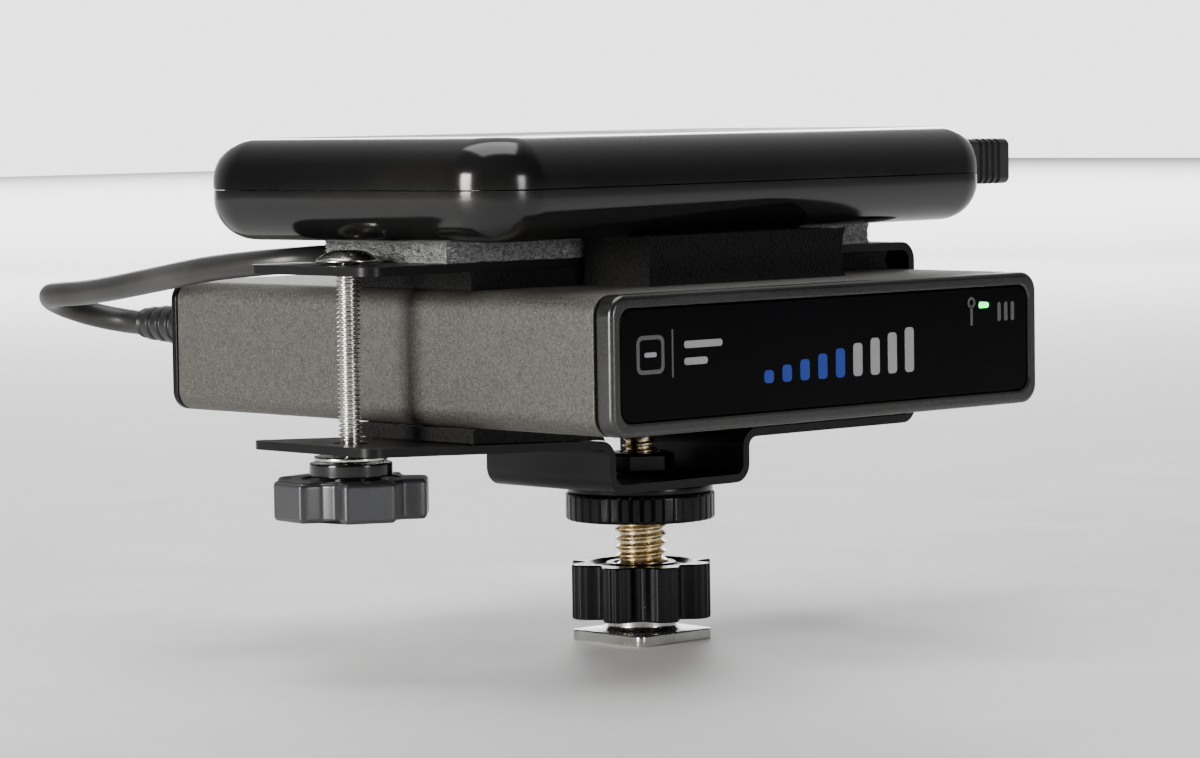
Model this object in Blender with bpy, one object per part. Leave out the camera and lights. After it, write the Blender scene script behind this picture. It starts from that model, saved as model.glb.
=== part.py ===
"""Camera-top wireless video unit in its clamp bracket, with a slab battery pack on top.

Frame: metres, +Z up, +X along the front panel from left to right, +Y from the front panel to the rear.
The origin is the centre of the shoe foot's underside, on the axis of the mounting stud.
Dimensions are written in millimetres and turned into metres by MM.
"""

import math

import bmesh
import bpy
from mathutils import Matrix, Vector

MM = 0.001
GAP = 0.3                      # clearance between touching pieces

# Mounting stud and its rings, all centred on the Z axis
FOOT_SIZE = 18.4               # the square foot that slides into an accessory shoe
FOOT_THICK = 2.0
NECK_RADIUS = 6.1
NECK_TOP = 4.0
STUD_RADIUS = 4.7              # 3/8 inch thread
TIP_RADIUS = 3.1               # 1/4 inch threaded tip through the bracket
TIP_START = 28.4
STUD_TOP = 37.0
INSERT_WALL = 2.0
STAR_RADIUS = 13.2
STAR_LOBES = 8
STAR_LOW = 4.3
STAR_HEIGHT = 9.9
RING_RADIUS = 13.5
RING_LOW = 22.0
RING_HEIGHT = 6.4
NUT_FLATS = 11.1
NUT_HEIGHT = 3.6

# Bracket: one steel strip bent to a C, with a hat-shaped drop round the stud's nut
SHEET = 1.5
STRIP_HALF = 16.0              # half the strip's width along Y
STRIP_LEFT = -77.5
WALL_X = 56.5                  # outer face of the right wall
HAT_LEFT = -22.8
HAT_RIGHT = 12.0
HAT_FLOOR = 28.7               # underside of the drop
ARM_LOW = 36.7                 # underside of the lower arm, right of the drop
EAR_RISE = 2.2                 # how far the clamp has pulled up the lower arm's left end
JAW_LOW = 68.9                 # underside of the upper arm
BEND = 2.6                     # bend radius on the sheet's centre line
HINGE_Z = 64.35                # where the upper arm flexes on the right wall
BOLT_X = -68.2
BOLT_RADIUS = 2.08             # an 8-32 machine screw
BOLT_CLEARANCE = 3.1
BOLT_END = 29.2
KNOB_LOW = 27.4
KNOB_HEIGHT = 6.8
KNOB_FACE = 12.95              # from the axis to a lobe's flat face
KNOB_LOBES = 5
KNOB_START = math.radians(-116)

# Receiver box
BOX_LEFT = -55.5
BOX_FRONT = -51.0
BOX_LOW = 42.2
BOX_WIDTH = 106.0
BOX_DEPTH = 116.0
BOX_HEIGHT = 23.5
BOX_ROUND = 3.5
BOX_WALL = 1.5
BEZEL_DEPTH = 4.0
BEZEL_RIM = 3.0
PANEL_THICK = 2.0
PANEL_RECESS = 0.4
REAR_THICK = 1.6
BOARD_LOW = 4.4                # heights above the box's underside
BOARD_THICK = 1.6

# Battery pack, turned a little about Z on the upper arm
PACK_X = -0.5
PACK_Y = 6.0
PACK_LOW = 74.2
PACK_LENGTH = 144.0
PACK_WIDTH = 72.0
PACK_HEIGHT = 17.5
PACK_CORNER = 11.0
PACK_EDGE = 7.4
PACK_WALL = 1.8
PACK_TURN = math.radians(7.0)
PORT_Z = 84.8
USB_ACROSS = -21.0

LEAD_RADIUS = 2.3
LEAD_SPACING = 4.8

BOX_TOP = BOX_LOW + BOX_HEIGHT
BOX_RIGHT = BOX_LEFT + BOX_WIDTH
BOX_REAR = BOX_FRONT + BOX_DEPTH
BOX_MID_X = BOX_LEFT + BOX_WIDTH / 2
BOX_MID_Z = BOX_LOW + BOX_HEIGHT / 2
PACK_SEAM = PACK_LOW + PACK_HEIGHT / 2
PACK_END = PACK_LENGTH / 2

# The lead's own points, from the plug in the pack's end to the plug in the box's rear panel
LEAD_ROUTE = [
    (80.4, 3.4, 84.8),
    (79.4, 11.6, 84.8),
    (77.6, 26.0, 84.3),
    (74.0, 40.0, 83.2),
    (65.5, 52.5, 81.4),
    (51.5, 58.4, 79.0),
    (32.0, 56.8, 75.6),
    (13.0, 50.0, 72.4),
    (-5.0, 38.8, 70.9),
    (-23.0, 28.0, 70.5),
    (-38.0, 21.6, 70.6),
    (-48.5, 20.8, 70.7),
    (-56.0, 25.0, 70.4),
    (-59.6, 34.0, 69.7),
    (-60.2, 48.0, 68.4),
    (-59.4, 64.0, 66.2),
    (-58.4, 78.0, 64.3),
    (-56.9, 89.5, 63.1),
    (-56.2, 97.0, 62.6),
    (-54.9, 102.1, 62.2),
    (-51.5, 105.9, 61.1),
    (-46.8, 107.3, 59.5),
    (-42.1, 105.9, 57.9),
    (-38.6, 102.0, 56.8),
    (-37.5, 97.4, 56.4),
    (-37.5, 96.3, 56.4),
]

DC_X = -37.5
DC_Z = 56.4
DC_TAIL = 96.0

materials = {}


def clear_scene():
    for thing in list(bpy.data.objects):
        bpy.data.objects.remove(thing, do_unlink=True)


def material(name, colour, roughness, metallic=0.0):
    """One Principled material for each name, made when it is first asked for."""
    if name not in materials:
        made = bpy.data.materials.new(name)
        made.use_nodes = True
        shader = made.node_tree.nodes["Principled BSDF"]
        shader.inputs["Base Color"].default_value = (*colour, 1.0)
        shader.inputs["Roughness"].default_value = roughness
        shader.inputs["Metallic"].default_value = metallic
        made.diffuse_color = (*colour, 1.0)
        materials[name] = made
    return materials[name]


def satin_grey():
    return material("satin_grey_metal", (0.09, 0.088, 0.082), 0.42, 0.8)


def bezel_grey():
    return material("bezel_metal", (0.22, 0.22, 0.22), 0.35, 0.9)


def gloss_black():
    return material("gloss_black", (0.008, 0.008, 0.009), 0.08)


def black_plastic():
    return material("black_plastic", (0.02, 0.02, 0.021), 0.5)


def black_paint():
    return material("black_paint", (0.016, 0.015, 0.016), 0.38, 0.2)


def black_metal():
    return material("black_anodised", (0.03, 0.03, 0.032), 0.35, 0.85)


def bright_steel():
    return material("bright_steel", (0.72, 0.71, 0.68), 0.22, 1.0)


def gold_steel():
    return material("yellow_zinc", (0.62, 0.5, 0.27), 0.28, 1.0)


def black_foam():
    return material("black_foam", (0.014, 0.014, 0.014), 0.95)


def grey_felt():
    return material("grey_hook_pad", (0.2, 0.21, 0.21), 0.95)


def board_green():
    return material("board_green", (0.02, 0.12, 0.05), 0.5)


def chip_black():
    return material("chip_black", (0.02, 0.02, 0.02), 0.6)


def socket_metal():
    return material("socket_metal", (0.6, 0.6, 0.6), 0.3, 1.0)


def cell_silver():
    return material("cell_foil", (0.55, 0.55, 0.56), 0.35, 0.9)


def led_green():
    return material("led_green", (0.05, 0.75, 0.15), 0.3)


def lead_rubber():
    return material("lead_rubber", (0.02, 0.02, 0.021), 0.55)


# Outlines: closed lists of (u, v) points in millimetres, anticlockwise

def rounded_rectangle(width, height, radius, steps=5, centre=(0.0, 0.0)):
    points = []
    corners = [(1, 1, 0), (-1, 1, 90), (-1, -1, 180), (1, -1, 270)]
    for sign_u, sign_v, start in corners:
        middle_u = centre[0] + sign_u * (width / 2 - radius)
        middle_v = centre[1] + sign_v * (height / 2 - radius)
        for step in range(steps + 1):
            angle = math.radians(start + 90 * step / steps)
            points.append((middle_u + radius * math.cos(angle), middle_v + radius * math.sin(angle)))
    return points


def circle(radius, count, centre=(0.0, 0.0)):
    turn = math.tau / count
    return [
        (centre[0] + radius * math.cos(i * turn), centre[1] + radius * math.sin(i * turn))
        for i in range(count)
    ]


def hexagon(flats, count):
    """A hexagon with its points spread so that it pairs with a circle of the same count."""
    points = []
    for i in range(count):
        angle = i * math.tau / count
        off_middle = (angle + math.pi / 6) % (math.pi / 3) - math.pi / 6
        radius = flats / 2 / math.cos(off_middle)
        points.append((radius * math.cos(angle), radius * math.sin(angle)))
    return points


def lobed(radius, depth, lobes, count, flatness):
    """A round knob's outline with scalloped gaps; flatness widens the lobes' faces."""
    points = []
    for i in range(count):
        angle = i * math.tau / count
        wave = 0.5 - 0.5 * math.cos(lobes * angle)
        here = radius - depth * (1 - wave) ** flatness
        points.append((here * math.cos(angle), here * math.sin(angle)))
    return points


def rosette(face, depth, lobes, start, count, flat=0.3, flank=0.24):
    """A knob's outline: lobes with flat faces and round flutes between them; start is one lobe's angle."""
    points = []
    half = math.pi / lobes
    for i in range(count):
        angle = i * math.tau / count
        off = abs((angle - start + half) % (2 * half) - half)
        share = min(max((off - flat) / flank, 0.0), 1.0)
        here = face / math.cos(min(off, flat)) - depth * share * share * (3 - 2 * share)
        points.append((here * math.cos(angle), here * math.sin(angle)))
    return points


def toothed(radius, depth, teeth):
    """A knurled rim, four points to a tooth."""
    points = []
    for i in range(teeth * 4):
        angle = i * math.tau / (teeth * 4)
        here = radius if i % 4 < 2 else radius - depth
        points.append((here * math.cos(angle), here * math.sin(angle)))
    return points


# Solids

def place(u, v, along, axis):
    if axis == "X":
        return Vector((along, u, v)) * MM
    if axis == "Y":
        return Vector((u, along, v)) * MM
    return Vector((u, v, along)) * MM


def finish_mesh(name, mesh, paint):
    bmesh.ops.recalc_face_normals(mesh, faces=mesh.faces)
    data = bpy.data.meshes.new(name)
    mesh.to_mesh(data)
    mesh.free()
    data.shade_smooth()
    data.set_sharp_from_angle(angle=math.radians(35))
    made = bpy.data.objects.new(name, data)
    bpy.context.collection.objects.link(made)
    if paint:
        data.materials.append(paint)
    return made


def loops_solid(name, loops, paint, closed_ends=True):
    """A solid skinned over rings of points; the rings close on each other when closed_ends is false."""
    mesh = bmesh.new()
    rings = [[mesh.verts.new(point) for point in loop] for loop in loops]
    count = len(rings[0])
    pairs = list(zip(rings, rings[1:]))
    if not closed_ends:
        pairs.append((rings[-1], rings[0]))
    for low, high in pairs:
        for i in range(count):
            j = (i + 1) % count
            mesh.faces.new((low[i], low[j], high[j], high[i]))
    if closed_ends:
        mesh.faces.new(rings[0])
        mesh.faces.new(rings[-1])
    return finish_mesh(name, mesh, paint)


def prism(name, outline, low, high, paint, axis="Z", chamfer=0.0):
    """An outline pushed from low to high, with its end edges broken by a chamfer."""
    middle_u = sum(u for u, _ in outline) / len(outline)
    middle_v = sum(v for _, v in outline) / len(outline)
    reach_u = max(abs(u - middle_u) for u, _ in outline)
    reach_v = max(abs(v - middle_v) for _, v in outline)

    def ring(along, inset):
        shrink_u = 1 - inset / reach_u
        shrink_v = 1 - inset / reach_v
        return [
            place(middle_u + (u - middle_u) * shrink_u, middle_v + (v - middle_v) * shrink_v, along, axis)
            for u, v in outline
        ]

    if chamfer == 0:
        stations = [(low, 0.0), (high, 0.0)]
    else:
        stations = [(low, chamfer), (low + chamfer, 0.0), (high - chamfer, 0.0), (high, chamfer)]
    return loops_solid(name, [ring(along, inset) for along, inset in stations], paint)


def sleeve(name, outer, inner, low, high, paint, axis="Z"):
    """A tube: an outer and an inner outline with the same number of points."""
    loops = [
        [place(u, v, low, axis) for u, v in outer],
        [place(u, v, high, axis) for u, v in outer],
        [place(u, v, high, axis) for u, v in inner],
        [place(u, v, low, axis) for u, v in inner],
    ]
    return loops_solid(name, loops, paint, closed_ends=False)


def block(name, low, high, paint, corner=0.6, axis="Z"):
    """A box between two corners with its four edges along axis rounded."""
    size = [b - a for a, b in zip(low, high)]
    middle = [(a + b) / 2 for a, b in zip(low, high)]
    along = "XYZ".index(axis)
    first, second = [i for i in range(3) if i != along]
    outline = rounded_rectangle(
        size[first], size[second], corner, steps=3, centre=(middle[first], middle[second])
    )
    return prism(name, outline, low[along], high[along], paint, axis)


def turned(name, profile, paint, count=24, axis="Z", centre=(0.0, 0.0)):
    """A turned solid from (radius, along) points; it is closed on its axis by flat ends."""
    loops = []
    for radius, along in profile:
        loops.append([place(u, v, along, axis) for u, v in circle(radius, count, centre)])
    return loops_solid(name, loops, paint)


def cut(target, cutter):
    cutter.hide_render = True
    cutter.display_type = "WIRE"
    knife = target.modifiers.new("cut_" + cutter.name, "BOOLEAN")
    knife.operation = "DIFFERENCE"
    knife.solver = "EXACT"
    knife.object = cutter


def keep_inside(target, guide):
    guide.hide_render = True
    guide.display_type = "WIRE"
    trim = target.modifiers.new("trim", "BOOLEAN")
    trim.operation = "INTERSECT"
    trim.solver = "EXACT"
    trim.object = guide


def bent_sheet(name, path, paint):
    """A strip of sheet along an XZ path on its centre line, with rounded bends."""
    centre = [Vector(path[0])]
    for before, corner, after in zip(path, path[1:], path[2:]):
        corner = Vector(corner)
        into = (Vector(before) - corner).normalized()
        out = (Vector(after) - corner).normalized()
        start = corner + into * BEND
        end = corner + out * BEND
        for step in range(7):
            turn = step / 6 * math.pi / 2
            centre.append(corner + into * BEND + out * BEND
                          - out * BEND * math.cos(turn) - into * BEND * math.sin(turn))
        assert (centre[-7] - start).length < 1e-4 and (centre[-1] - end).length < 1e-4
    centre.append(Vector(path[-1]))
    upper, lower = [], []
    for i, point in enumerate(centre):
        ahead = centre[min(i + 1, len(centre) - 1)]
        behind = centre[max(i - 1, 0)]
        along = (ahead - behind).normalized()
        side = Vector((-along.y, along.x)) * SHEET / 2
        upper.append(tuple(point + side))
        lower.append(tuple(point - side))
    outline = upper + lower[::-1]
    return prism(name, outline, -STRIP_HALF, STRIP_HALF, paint, axis="Y")


# Mounting stud

def make_stud():
    foot = block(
        "shoe_foot",
        (-FOOT_SIZE / 2, -FOOT_SIZE / 2, 0.0),
        (FOOT_SIZE / 2, FOOT_SIZE / 2, FOOT_THICK),
        bright_steel(),
        corner=1.2,
    )
    neck = turned("shoe_neck", [(NECK_RADIUS, FOOT_THICK - 0.5), (NECK_RADIUS, NECK_TOP)], None)
    neck.hide_render = True
    neck.display_type = "WIRE"
    joined = foot.modifiers.new("neck", "BOOLEAN")
    joined.operation = "UNION"
    joined.solver = "EXACT"
    joined.object = neck
    socket_floor = FOOT_THICK - 0.4
    cut(foot, turned("stud_socket", [(STUD_RADIUS + GAP, socket_floor), (STUD_RADIUS + GAP, NECK_TOP + 1)], None))

    turned(
        "stud",
        [
            (STUD_RADIUS - 0.6, socket_floor + GAP),
            (STUD_RADIUS, socket_floor + GAP + 0.6),
            (STUD_RADIUS, TIP_START - 0.4),
            (TIP_RADIUS + 0.2, TIP_START),
            (TIP_RADIUS, TIP_START + 0.2),
            (TIP_RADIUS, STUD_TOP - 0.7),
            (TIP_RADIUS - 0.7, STUD_TOP),
        ],
        gold_steel(),
    )
    nut_low = HAT_FLOOR + SHEET + GAP
    sleeve(
        "stud_nut",
        hexagon(NUT_FLATS, 36),
        circle(TIP_RADIUS + GAP, 36),
        nut_low,
        nut_low + NUT_HEIGHT,
        black_metal(),
    )


def make_rings():
    bore = STUD_RADIUS + GAP
    insert = bore + INSERT_WALL
    star_high = STAR_LOW + STAR_HEIGHT
    sleeve("star_insert", circle(insert, 24), circle(bore, 24), STAR_LOW, star_high, gold_steel())
    outline = lobed(STAR_RADIUS, 2.6, STAR_LOBES, 64, 2.2)
    sleeve("star_wheel", outline, circle(insert + GAP, 64), STAR_LOW, star_high, black_metal())

    ring_high = RING_LOW + RING_HEIGHT
    sleeve("lock_insert", circle(insert, 24), circle(bore, 24), RING_LOW, ring_high, gold_steel())
    rim = toothed(RING_RADIUS, 0.35, 26)
    sleeve("lock_ring", rim, circle(insert + GAP, len(rim)), RING_LOW, ring_high, black_metal())


# Bracket

def arm_rise(x):
    """How far the lower arm's left end stands above its right part."""
    return EAR_RISE * (HAT_LEFT - x) / (HAT_LEFT - STRIP_LEFT)


def make_bracket():
    arm = ARM_LOW + SHEET / 2
    floor = HAT_FLOOR + SHEET / 2
    wall = WALL_X - SHEET / 2
    hat_left = HAT_LEFT + SHEET / 2
    hat_right = HAT_RIGHT - SHEET / 2
    lower = bent_sheet(
        "lower_bracket",
        [
            (STRIP_LEFT, arm + EAR_RISE),
            (hat_left, arm),
            (hat_left, floor),
            (hat_right, floor),
            (hat_right, arm),
            (wall, arm),
            (wall, HINGE_Z - GAP / 2),
        ],
        black_paint(),
    )
    jaw = JAW_LOW + SHEET / 2
    upper = bent_sheet(
        "upper_jaw",
        [(STRIP_LEFT, jaw), (wall, jaw), (wall, HINGE_Z + GAP / 2)],
        black_paint(),
    )
    guide_right = WALL_X + 20
    guide = prism(
        "strip_ends",
        rounded_rectangle(
            guide_right - STRIP_LEFT, 2 * STRIP_HALF, 3.0, centre=((guide_right + STRIP_LEFT) / 2, 0.0)
        ),
        10.0,
        90.0,
        None,
    )
    keep_inside(lower, guide)
    keep_inside(upper, guide)
    bolt_at = (BOLT_X, 0.0)
    cut(lower, prism("stud_hole", circle(TIP_RADIUS + GAP, 32), HAT_FLOOR - 2, HAT_FLOOR + 4, None))
    cut(lower, prism("ear_hole", circle(BOLT_CLEARANCE, 24, bolt_at), ARM_LOW - 2, ARM_LOW + 6, None))
    cut(upper, prism("jaw_hole", circle(BOLT_RADIUS + GAP, 24, bolt_at), JAW_LOW - 2, JAW_LOW + 4, None))


def make_liners():
    low = ARM_LOW + SHEET + GAP
    high = BOX_LOW - GAP
    half = STRIP_HALF - 0.6
    left, right = BOX_LEFT + 1.5, HAT_LEFT - 1.2
    wedge = [
        (left, high), (left, low + arm_rise(left) + 0.1), (right, low + arm_rise(right) + 0.1), (right, high)
    ]
    prism("lower_liner_left", wedge, -half, half, black_foam(), axis="Y")
    block("lower_liner_right", (HAT_RIGHT + 1.2, -half, low), (BOX_RIGHT - 1.5, half, high), black_foam())
    block(
        "side_liner",
        (BOX_RIGHT + GAP, -half, ARM_LOW + SHEET + 2.6),
        (WALL_X - SHEET - GAP, half, HINGE_Z - 2.0),
        black_foam(),
    )
    block(
        "upper_liner",
        (BOX_LEFT + 1.5, -half, BOX_TOP + GAP),
        (BOX_RIGHT - 1.5, half, JAW_LOW - GAP),
        black_foam(),
    )


def make_clamp():
    bolt_at = (BOLT_X, 0.0)
    head = JAW_LOW + SHEET + GAP
    turned(
        "clamp_bolt",
        [
            (BOLT_RADIUS - 0.5, BOLT_END),
            (BOLT_RADIUS, BOLT_END + 0.5),
            (BOLT_RADIUS, head),
            (5.4, head),
            (5.4, head + 0.7),
            (4.6, head + 1.5),
            (2.6, head + 2.0),
            (1.2, head + 2.1),
        ],
        bright_steel(),
        count=24,
        centre=bolt_at,
    )
    washer_high = ARM_LOW + arm_rise(BOLT_X + 6.3) - GAP
    washer_low = washer_high - 0.8
    sleeve(
        "bolt_washer",
        circle(6.3, 32, bolt_at),
        circle(BOLT_CLEARANCE, 32, bolt_at),
        washer_low,
        washer_high,
        bright_steel(),
    )

    knob_high = KNOB_LOW + KNOB_HEIGHT
    knob = prism(
        "clamp_knob",
        [(u + BOLT_X, v) for u, v in rosette(KNOB_FACE, 3.0, KNOB_LOBES, KNOB_START, 80)],
        KNOB_LOW,
        knob_high,
        black_plastic(),
        chamfer=0.7,
    )
    insert_low = KNOB_LOW + 1.4
    cut(knob, prism("insert_pocket", circle(5.0 + GAP, 32, bolt_at), insert_low - GAP, knob_high + 2, None))
    collar_low = knob_high + GAP
    bore = circle(BOLT_CLEARANCE, 32, bolt_at)
    loops = []
    for radius, along in [
        (5.0, insert_low),
        (5.0, collar_low),
        (7.1, collar_low),
        (7.1, washer_low - GAP),
    ]:
        loops.append([place(u, v, along, "Z") for u, v in circle(radius, 32, bolt_at)])
    loops.append([place(u, v, washer_low - GAP, "Z") for u, v in bore])
    loops.append([place(u, v, insert_low, "Z") for u, v in bore])
    loops_solid("knob_insert", loops, black_metal(), closed_ends=False)


# Receiver box

def make_case():
    front = BOX_FRONT + BEZEL_DEPTH + GAP
    rear = BOX_REAR - REAR_THICK - GAP
    centre = (BOX_MID_X, BOX_MID_Z)
    outer = rounded_rectangle(BOX_WIDTH, BOX_HEIGHT, BOX_ROUND, centre=centre)
    inner_round = BOX_ROUND - BOX_WALL
    inner = rounded_rectangle(
        BOX_WIDTH - 2 * BOX_WALL, BOX_HEIGHT - 2 * BOX_WALL, inner_round, centre=centre
    )
    sleeve("box_shell", outer, inner, front, rear, satin_grey(), axis="Y")

    window = rounded_rectangle(
        BOX_WIDTH - 2 * BEZEL_RIM, BOX_HEIGHT - 2 * BEZEL_RIM, 2.4, centre=centre
    )
    sleeve("front_bezel", outer, window, BOX_FRONT, BOX_FRONT + BEZEL_DEPTH, bezel_grey(), axis="Y")
    panel_front = BOX_FRONT + PANEL_RECESS
    panel = prism(
        "front_panel",
        rounded_rectangle(
            BOX_WIDTH - 2 * (BEZEL_RIM + GAP), BOX_HEIGHT - 2 * (BEZEL_RIM + GAP), 2.1, centre=centre
        ),
        panel_front,
        panel_front + PANEL_THICK,
        gloss_black(),
        axis="Y",
    )
    led_at = (BOX_LEFT + 92.3, BOX_LOW + 18.0)
    slot = rounded_rectangle(3.2, 1.6, 0.7, steps=3, centre=led_at)
    cut(panel, prism("led_slot", slot, BOX_FRONT - 2, BOX_FRONT + 6, None, axis="Y"))
    lens = rounded_rectangle(3.2 - 2 * GAP, 1.6 - 2 * GAP, 0.45, steps=3, centre=led_at)
    prism("status_led", lens, panel_front + 0.1, panel_front + 5.0, led_green(), axis="Y")


def make_rear_panel():
    rear_low = BOX_REAR - REAR_THICK
    panel = prism(
        "rear_panel",
        rounded_rectangle(BOX_WIDTH, BOX_HEIGHT, BOX_ROUND, centre=(BOX_MID_X, BOX_MID_Z)),
        rear_low,
        BOX_REAR,
        black_metal(),
        axis="Y",
    )
    board_top = BOX_LOW + BOARD_LOW + BOARD_THICK
    sockets = [
        # name, distance from the box's left side, width, height, mouth width, mouth height, depth
        ("network_socket", 38.5, 15.8, 13.2, 11.8, 8.0, 15.0),
        ("video_out_socket", 63.5, 15.0, 6.6, 13.4, 4.8, 11.0),
        ("video_in_socket", 80.5, 15.0, 6.6, 13.4, 4.8, 11.0),
        ("service_socket", 95.0, 8.0, 3.4, 6.6, 2.0, 6.0),
    ]
    for name, off, width, height, mouth_width, mouth_height, depth in sockets:
        middle_x = BOX_LEFT + off
        low_z = board_top + GAP
        middle_z = low_z + height / 2
        body = block(
            name,
            (middle_x - width / 2, BOX_REAR - depth, low_z),
            (middle_x + width / 2, BOX_REAR - 0.1, low_z + height),
            socket_metal(),
            corner=0.5,
            axis="Y",
        )
        mouth = rounded_rectangle(mouth_width, mouth_height, 0.6, steps=2, centre=(middle_x, middle_z))
        cut(body, prism(name + "_mouth", mouth, BOX_REAR - depth + 1.5, BOX_REAR + 2, None, axis="Y"))
        window = rounded_rectangle(
            width + 2 * GAP, height + 2 * GAP, 0.8, steps=2, centre=(middle_x, middle_z)
        )
        cut(panel, prism(name + "_window", window, rear_low - 2, BOX_REAR + 2, None, axis="Y"))

    audio_at = (BOX_LEFT + 51.0, board_top + GAP + 3.2)
    sleeve(
        "audio_socket",
        circle(3.1, 24, audio_at),
        circle(1.8, 24, audio_at),
        BOX_REAR - 12,
        BOX_REAR - 0.1,
        black_plastic(),
        axis="Y",
    )
    cut(panel, prism("audio_window", circle(3.1 + GAP, 24, audio_at), rear_low - 2, BOX_REAR + 2, None, axis="Y"))

    power_at = (DC_X, DC_Z)
    sleeve(
        "power_socket",
        rounded_rectangle(9.4, 9.4, 1.0, steps=5, centre=power_at),
        circle(3.1, 24, power_at)[3:] + circle(3.1, 24, power_at)[:3],
        BOX_REAR - 13,
        BOX_REAR - REAR_THICK - GAP,
        black_plastic(),
        axis="Y",
    )
    cut(panel, prism("power_window", circle(5.4, 32, power_at), rear_low - 2, BOX_REAR + 2, None, axis="Y"))

    reset_at = (BOX_LEFT + 26.5, DC_Z - 3.0)
    cut(panel, prism("reset_window", circle(1.5 + GAP, 24, reset_at), rear_low - 2, BOX_REAR + 2, None, axis="Y"))
    button = turned(
        "reset_button",
        [(2.4, -4.4), (2.4, -2.8), (1.5, -2.8), (1.5, -0.3), (1.2, 0.0)],
        black_plastic(),
        count=24,
        axis="Y",
    )
    button.location = Vector((reset_at[0], BOX_REAR, reset_at[1])) * MM

    for number, (side, level) in enumerate([(-1, -1), (1, -1), (-1, 1), (1, 1)], start=1):
        at = (BOX_MID_X + side * (BOX_WIDTH / 2 - 4.2), BOX_MID_Z + level * (BOX_HEIGHT / 2 - 4.2))
        hole = circle(1.5 + GAP, 20, at)
        cut(panel, prism(f"screw_hole_{number}", hole, rear_low - 2, BOX_REAR + 2, None, axis="Y"))
        screw = turned(
            f"rear_screw_{number}",
            [(1.2, rear_low - 2.5), (1.5, rear_low - 2.2), (1.5, BOX_REAR + GAP),
             (2.6, BOX_REAR + GAP), (2.6, BOX_REAR + 0.8), (1.6, BOX_REAR + 1.4)],
            black_metal(),
            count=20,
            axis="Y",
            centre=at,
        )
        recess = prism(
            f"screw_recess_{number}", hexagon(1.9, 12), 0.7, 3.0, None, axis="Y"
        )
        recess.location = Vector((at[0], BOX_REAR, at[1])) * MM
        cut(screw, recess)


def make_electronics():
    left, front = BOX_LEFT, BOX_FRONT
    board_low = BOX_LOW + BOARD_LOW
    board_high = board_low + BOARD_THICK
    rest = board_high + GAP
    block(
        "main_board",
        (left + 8.5, front + 8.0, board_low),
        (left + BOX_WIDTH - 8.5, BOX_REAR - 2.6, board_high),
        board_green(),
        corner=2.0,
    )
    block("processor_chip", (left + 44, front + 34, rest), (left + 64, front + 54, rest + 2.0), chip_black())
    sink_low = rest + 2.0 + GAP
    sink = block(
        "heat_sink", (left + 36, front + 26, sink_low), (left + 72, front + 62, sink_low + 9.0), black_metal()
    )
    for row in range(6):
        groove = left + 39.5 + row * 5.2
        cutter = block(
            f"sink_groove_{row + 1}",
            (groove, front + 20, sink_low + 2.0),
            (groove + 3.2, front + 70, sink_low + 12.0),
            None,
            corner=0.3,
        )
        cut(sink, cutter)
    block("radio_module", (left + 14, front + 14, rest), (left + 32, front + 32, rest + 2.6), socket_metal())
    for name, off in (("left_antenna", 12.0), ("right_antenna", BOX_WIDTH - 17.0)):
        block(name, (left + off, front + 50, rest), (left + off + 5.0, front + 86, rest + 7.0), board_green())
    places = [(14.0, 12.0), (92.0, 12.0), (14.0, 96.0), (92.0, 96.0)]
    for number, (off_x, off_y) in enumerate(places, start=1):
        sleeve(
            f"standoff_{number}",
            hexagon(5.0, 24),
            circle(1.5, 24),
            BOX_LOW + BOX_WALL + GAP,
            board_low - GAP,
            bright_steel(),
        ).location = Vector((left + off_x, front + off_y, 0.0)) * MM


# Battery pack, modelled straight and then turned about Z

def pack_place(thing):
    thing.matrix_world = (
        Matrix.Translation(Vector((PACK_X, PACK_Y, 0.0)) * MM) @ Matrix.Rotation(PACK_TURN, 4, "Z")
    )
    return thing


def pack_ring(inset, height):
    """One horizontal outline of the pack: its full plan pulled in by inset."""
    outline = rounded_rectangle(
        PACK_LENGTH - 2 * inset, PACK_WIDTH - 2 * inset, PACK_CORNER - inset, steps=4
    )
    return [place(u, v, height, "Z") for u, v in outline]


def pack_shell(name, outer_face, way):
    """Half of the casing: a tray with rounded edges, its rim at the seam. way is 1 when it opens upwards."""
    rim = PACK_SEAM - way * GAP / 2
    steps = 4
    loops = []
    for step in range(steps + 1):
        angle = math.radians(90 * step / steps)
        inset = PACK_EDGE * (1 - math.sin(angle))
        loops.append(pack_ring(inset, outer_face + way * PACK_EDGE * (1 - math.cos(angle))))
    loops.append(pack_ring(0.0, rim))
    loops.append(pack_ring(PACK_WALL, rim))
    inner_edge = PACK_EDGE - PACK_WALL
    for step in range(steps, -1, -1):
        angle = math.radians(90 * step / steps)
        inset = PACK_WALL + inner_edge * (1 - math.sin(angle))
        height = outer_face + way * (PACK_WALL + inner_edge * (1 - math.cos(angle)))
        loops.append(pack_ring(inset, height))
    return pack_place(loops_solid(name, loops, gloss_black()))


def pack_block(name, low, high, paint, corner=0.6, axis="Z"):
    return pack_place(block(name, low, high, paint, corner, axis))


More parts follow.
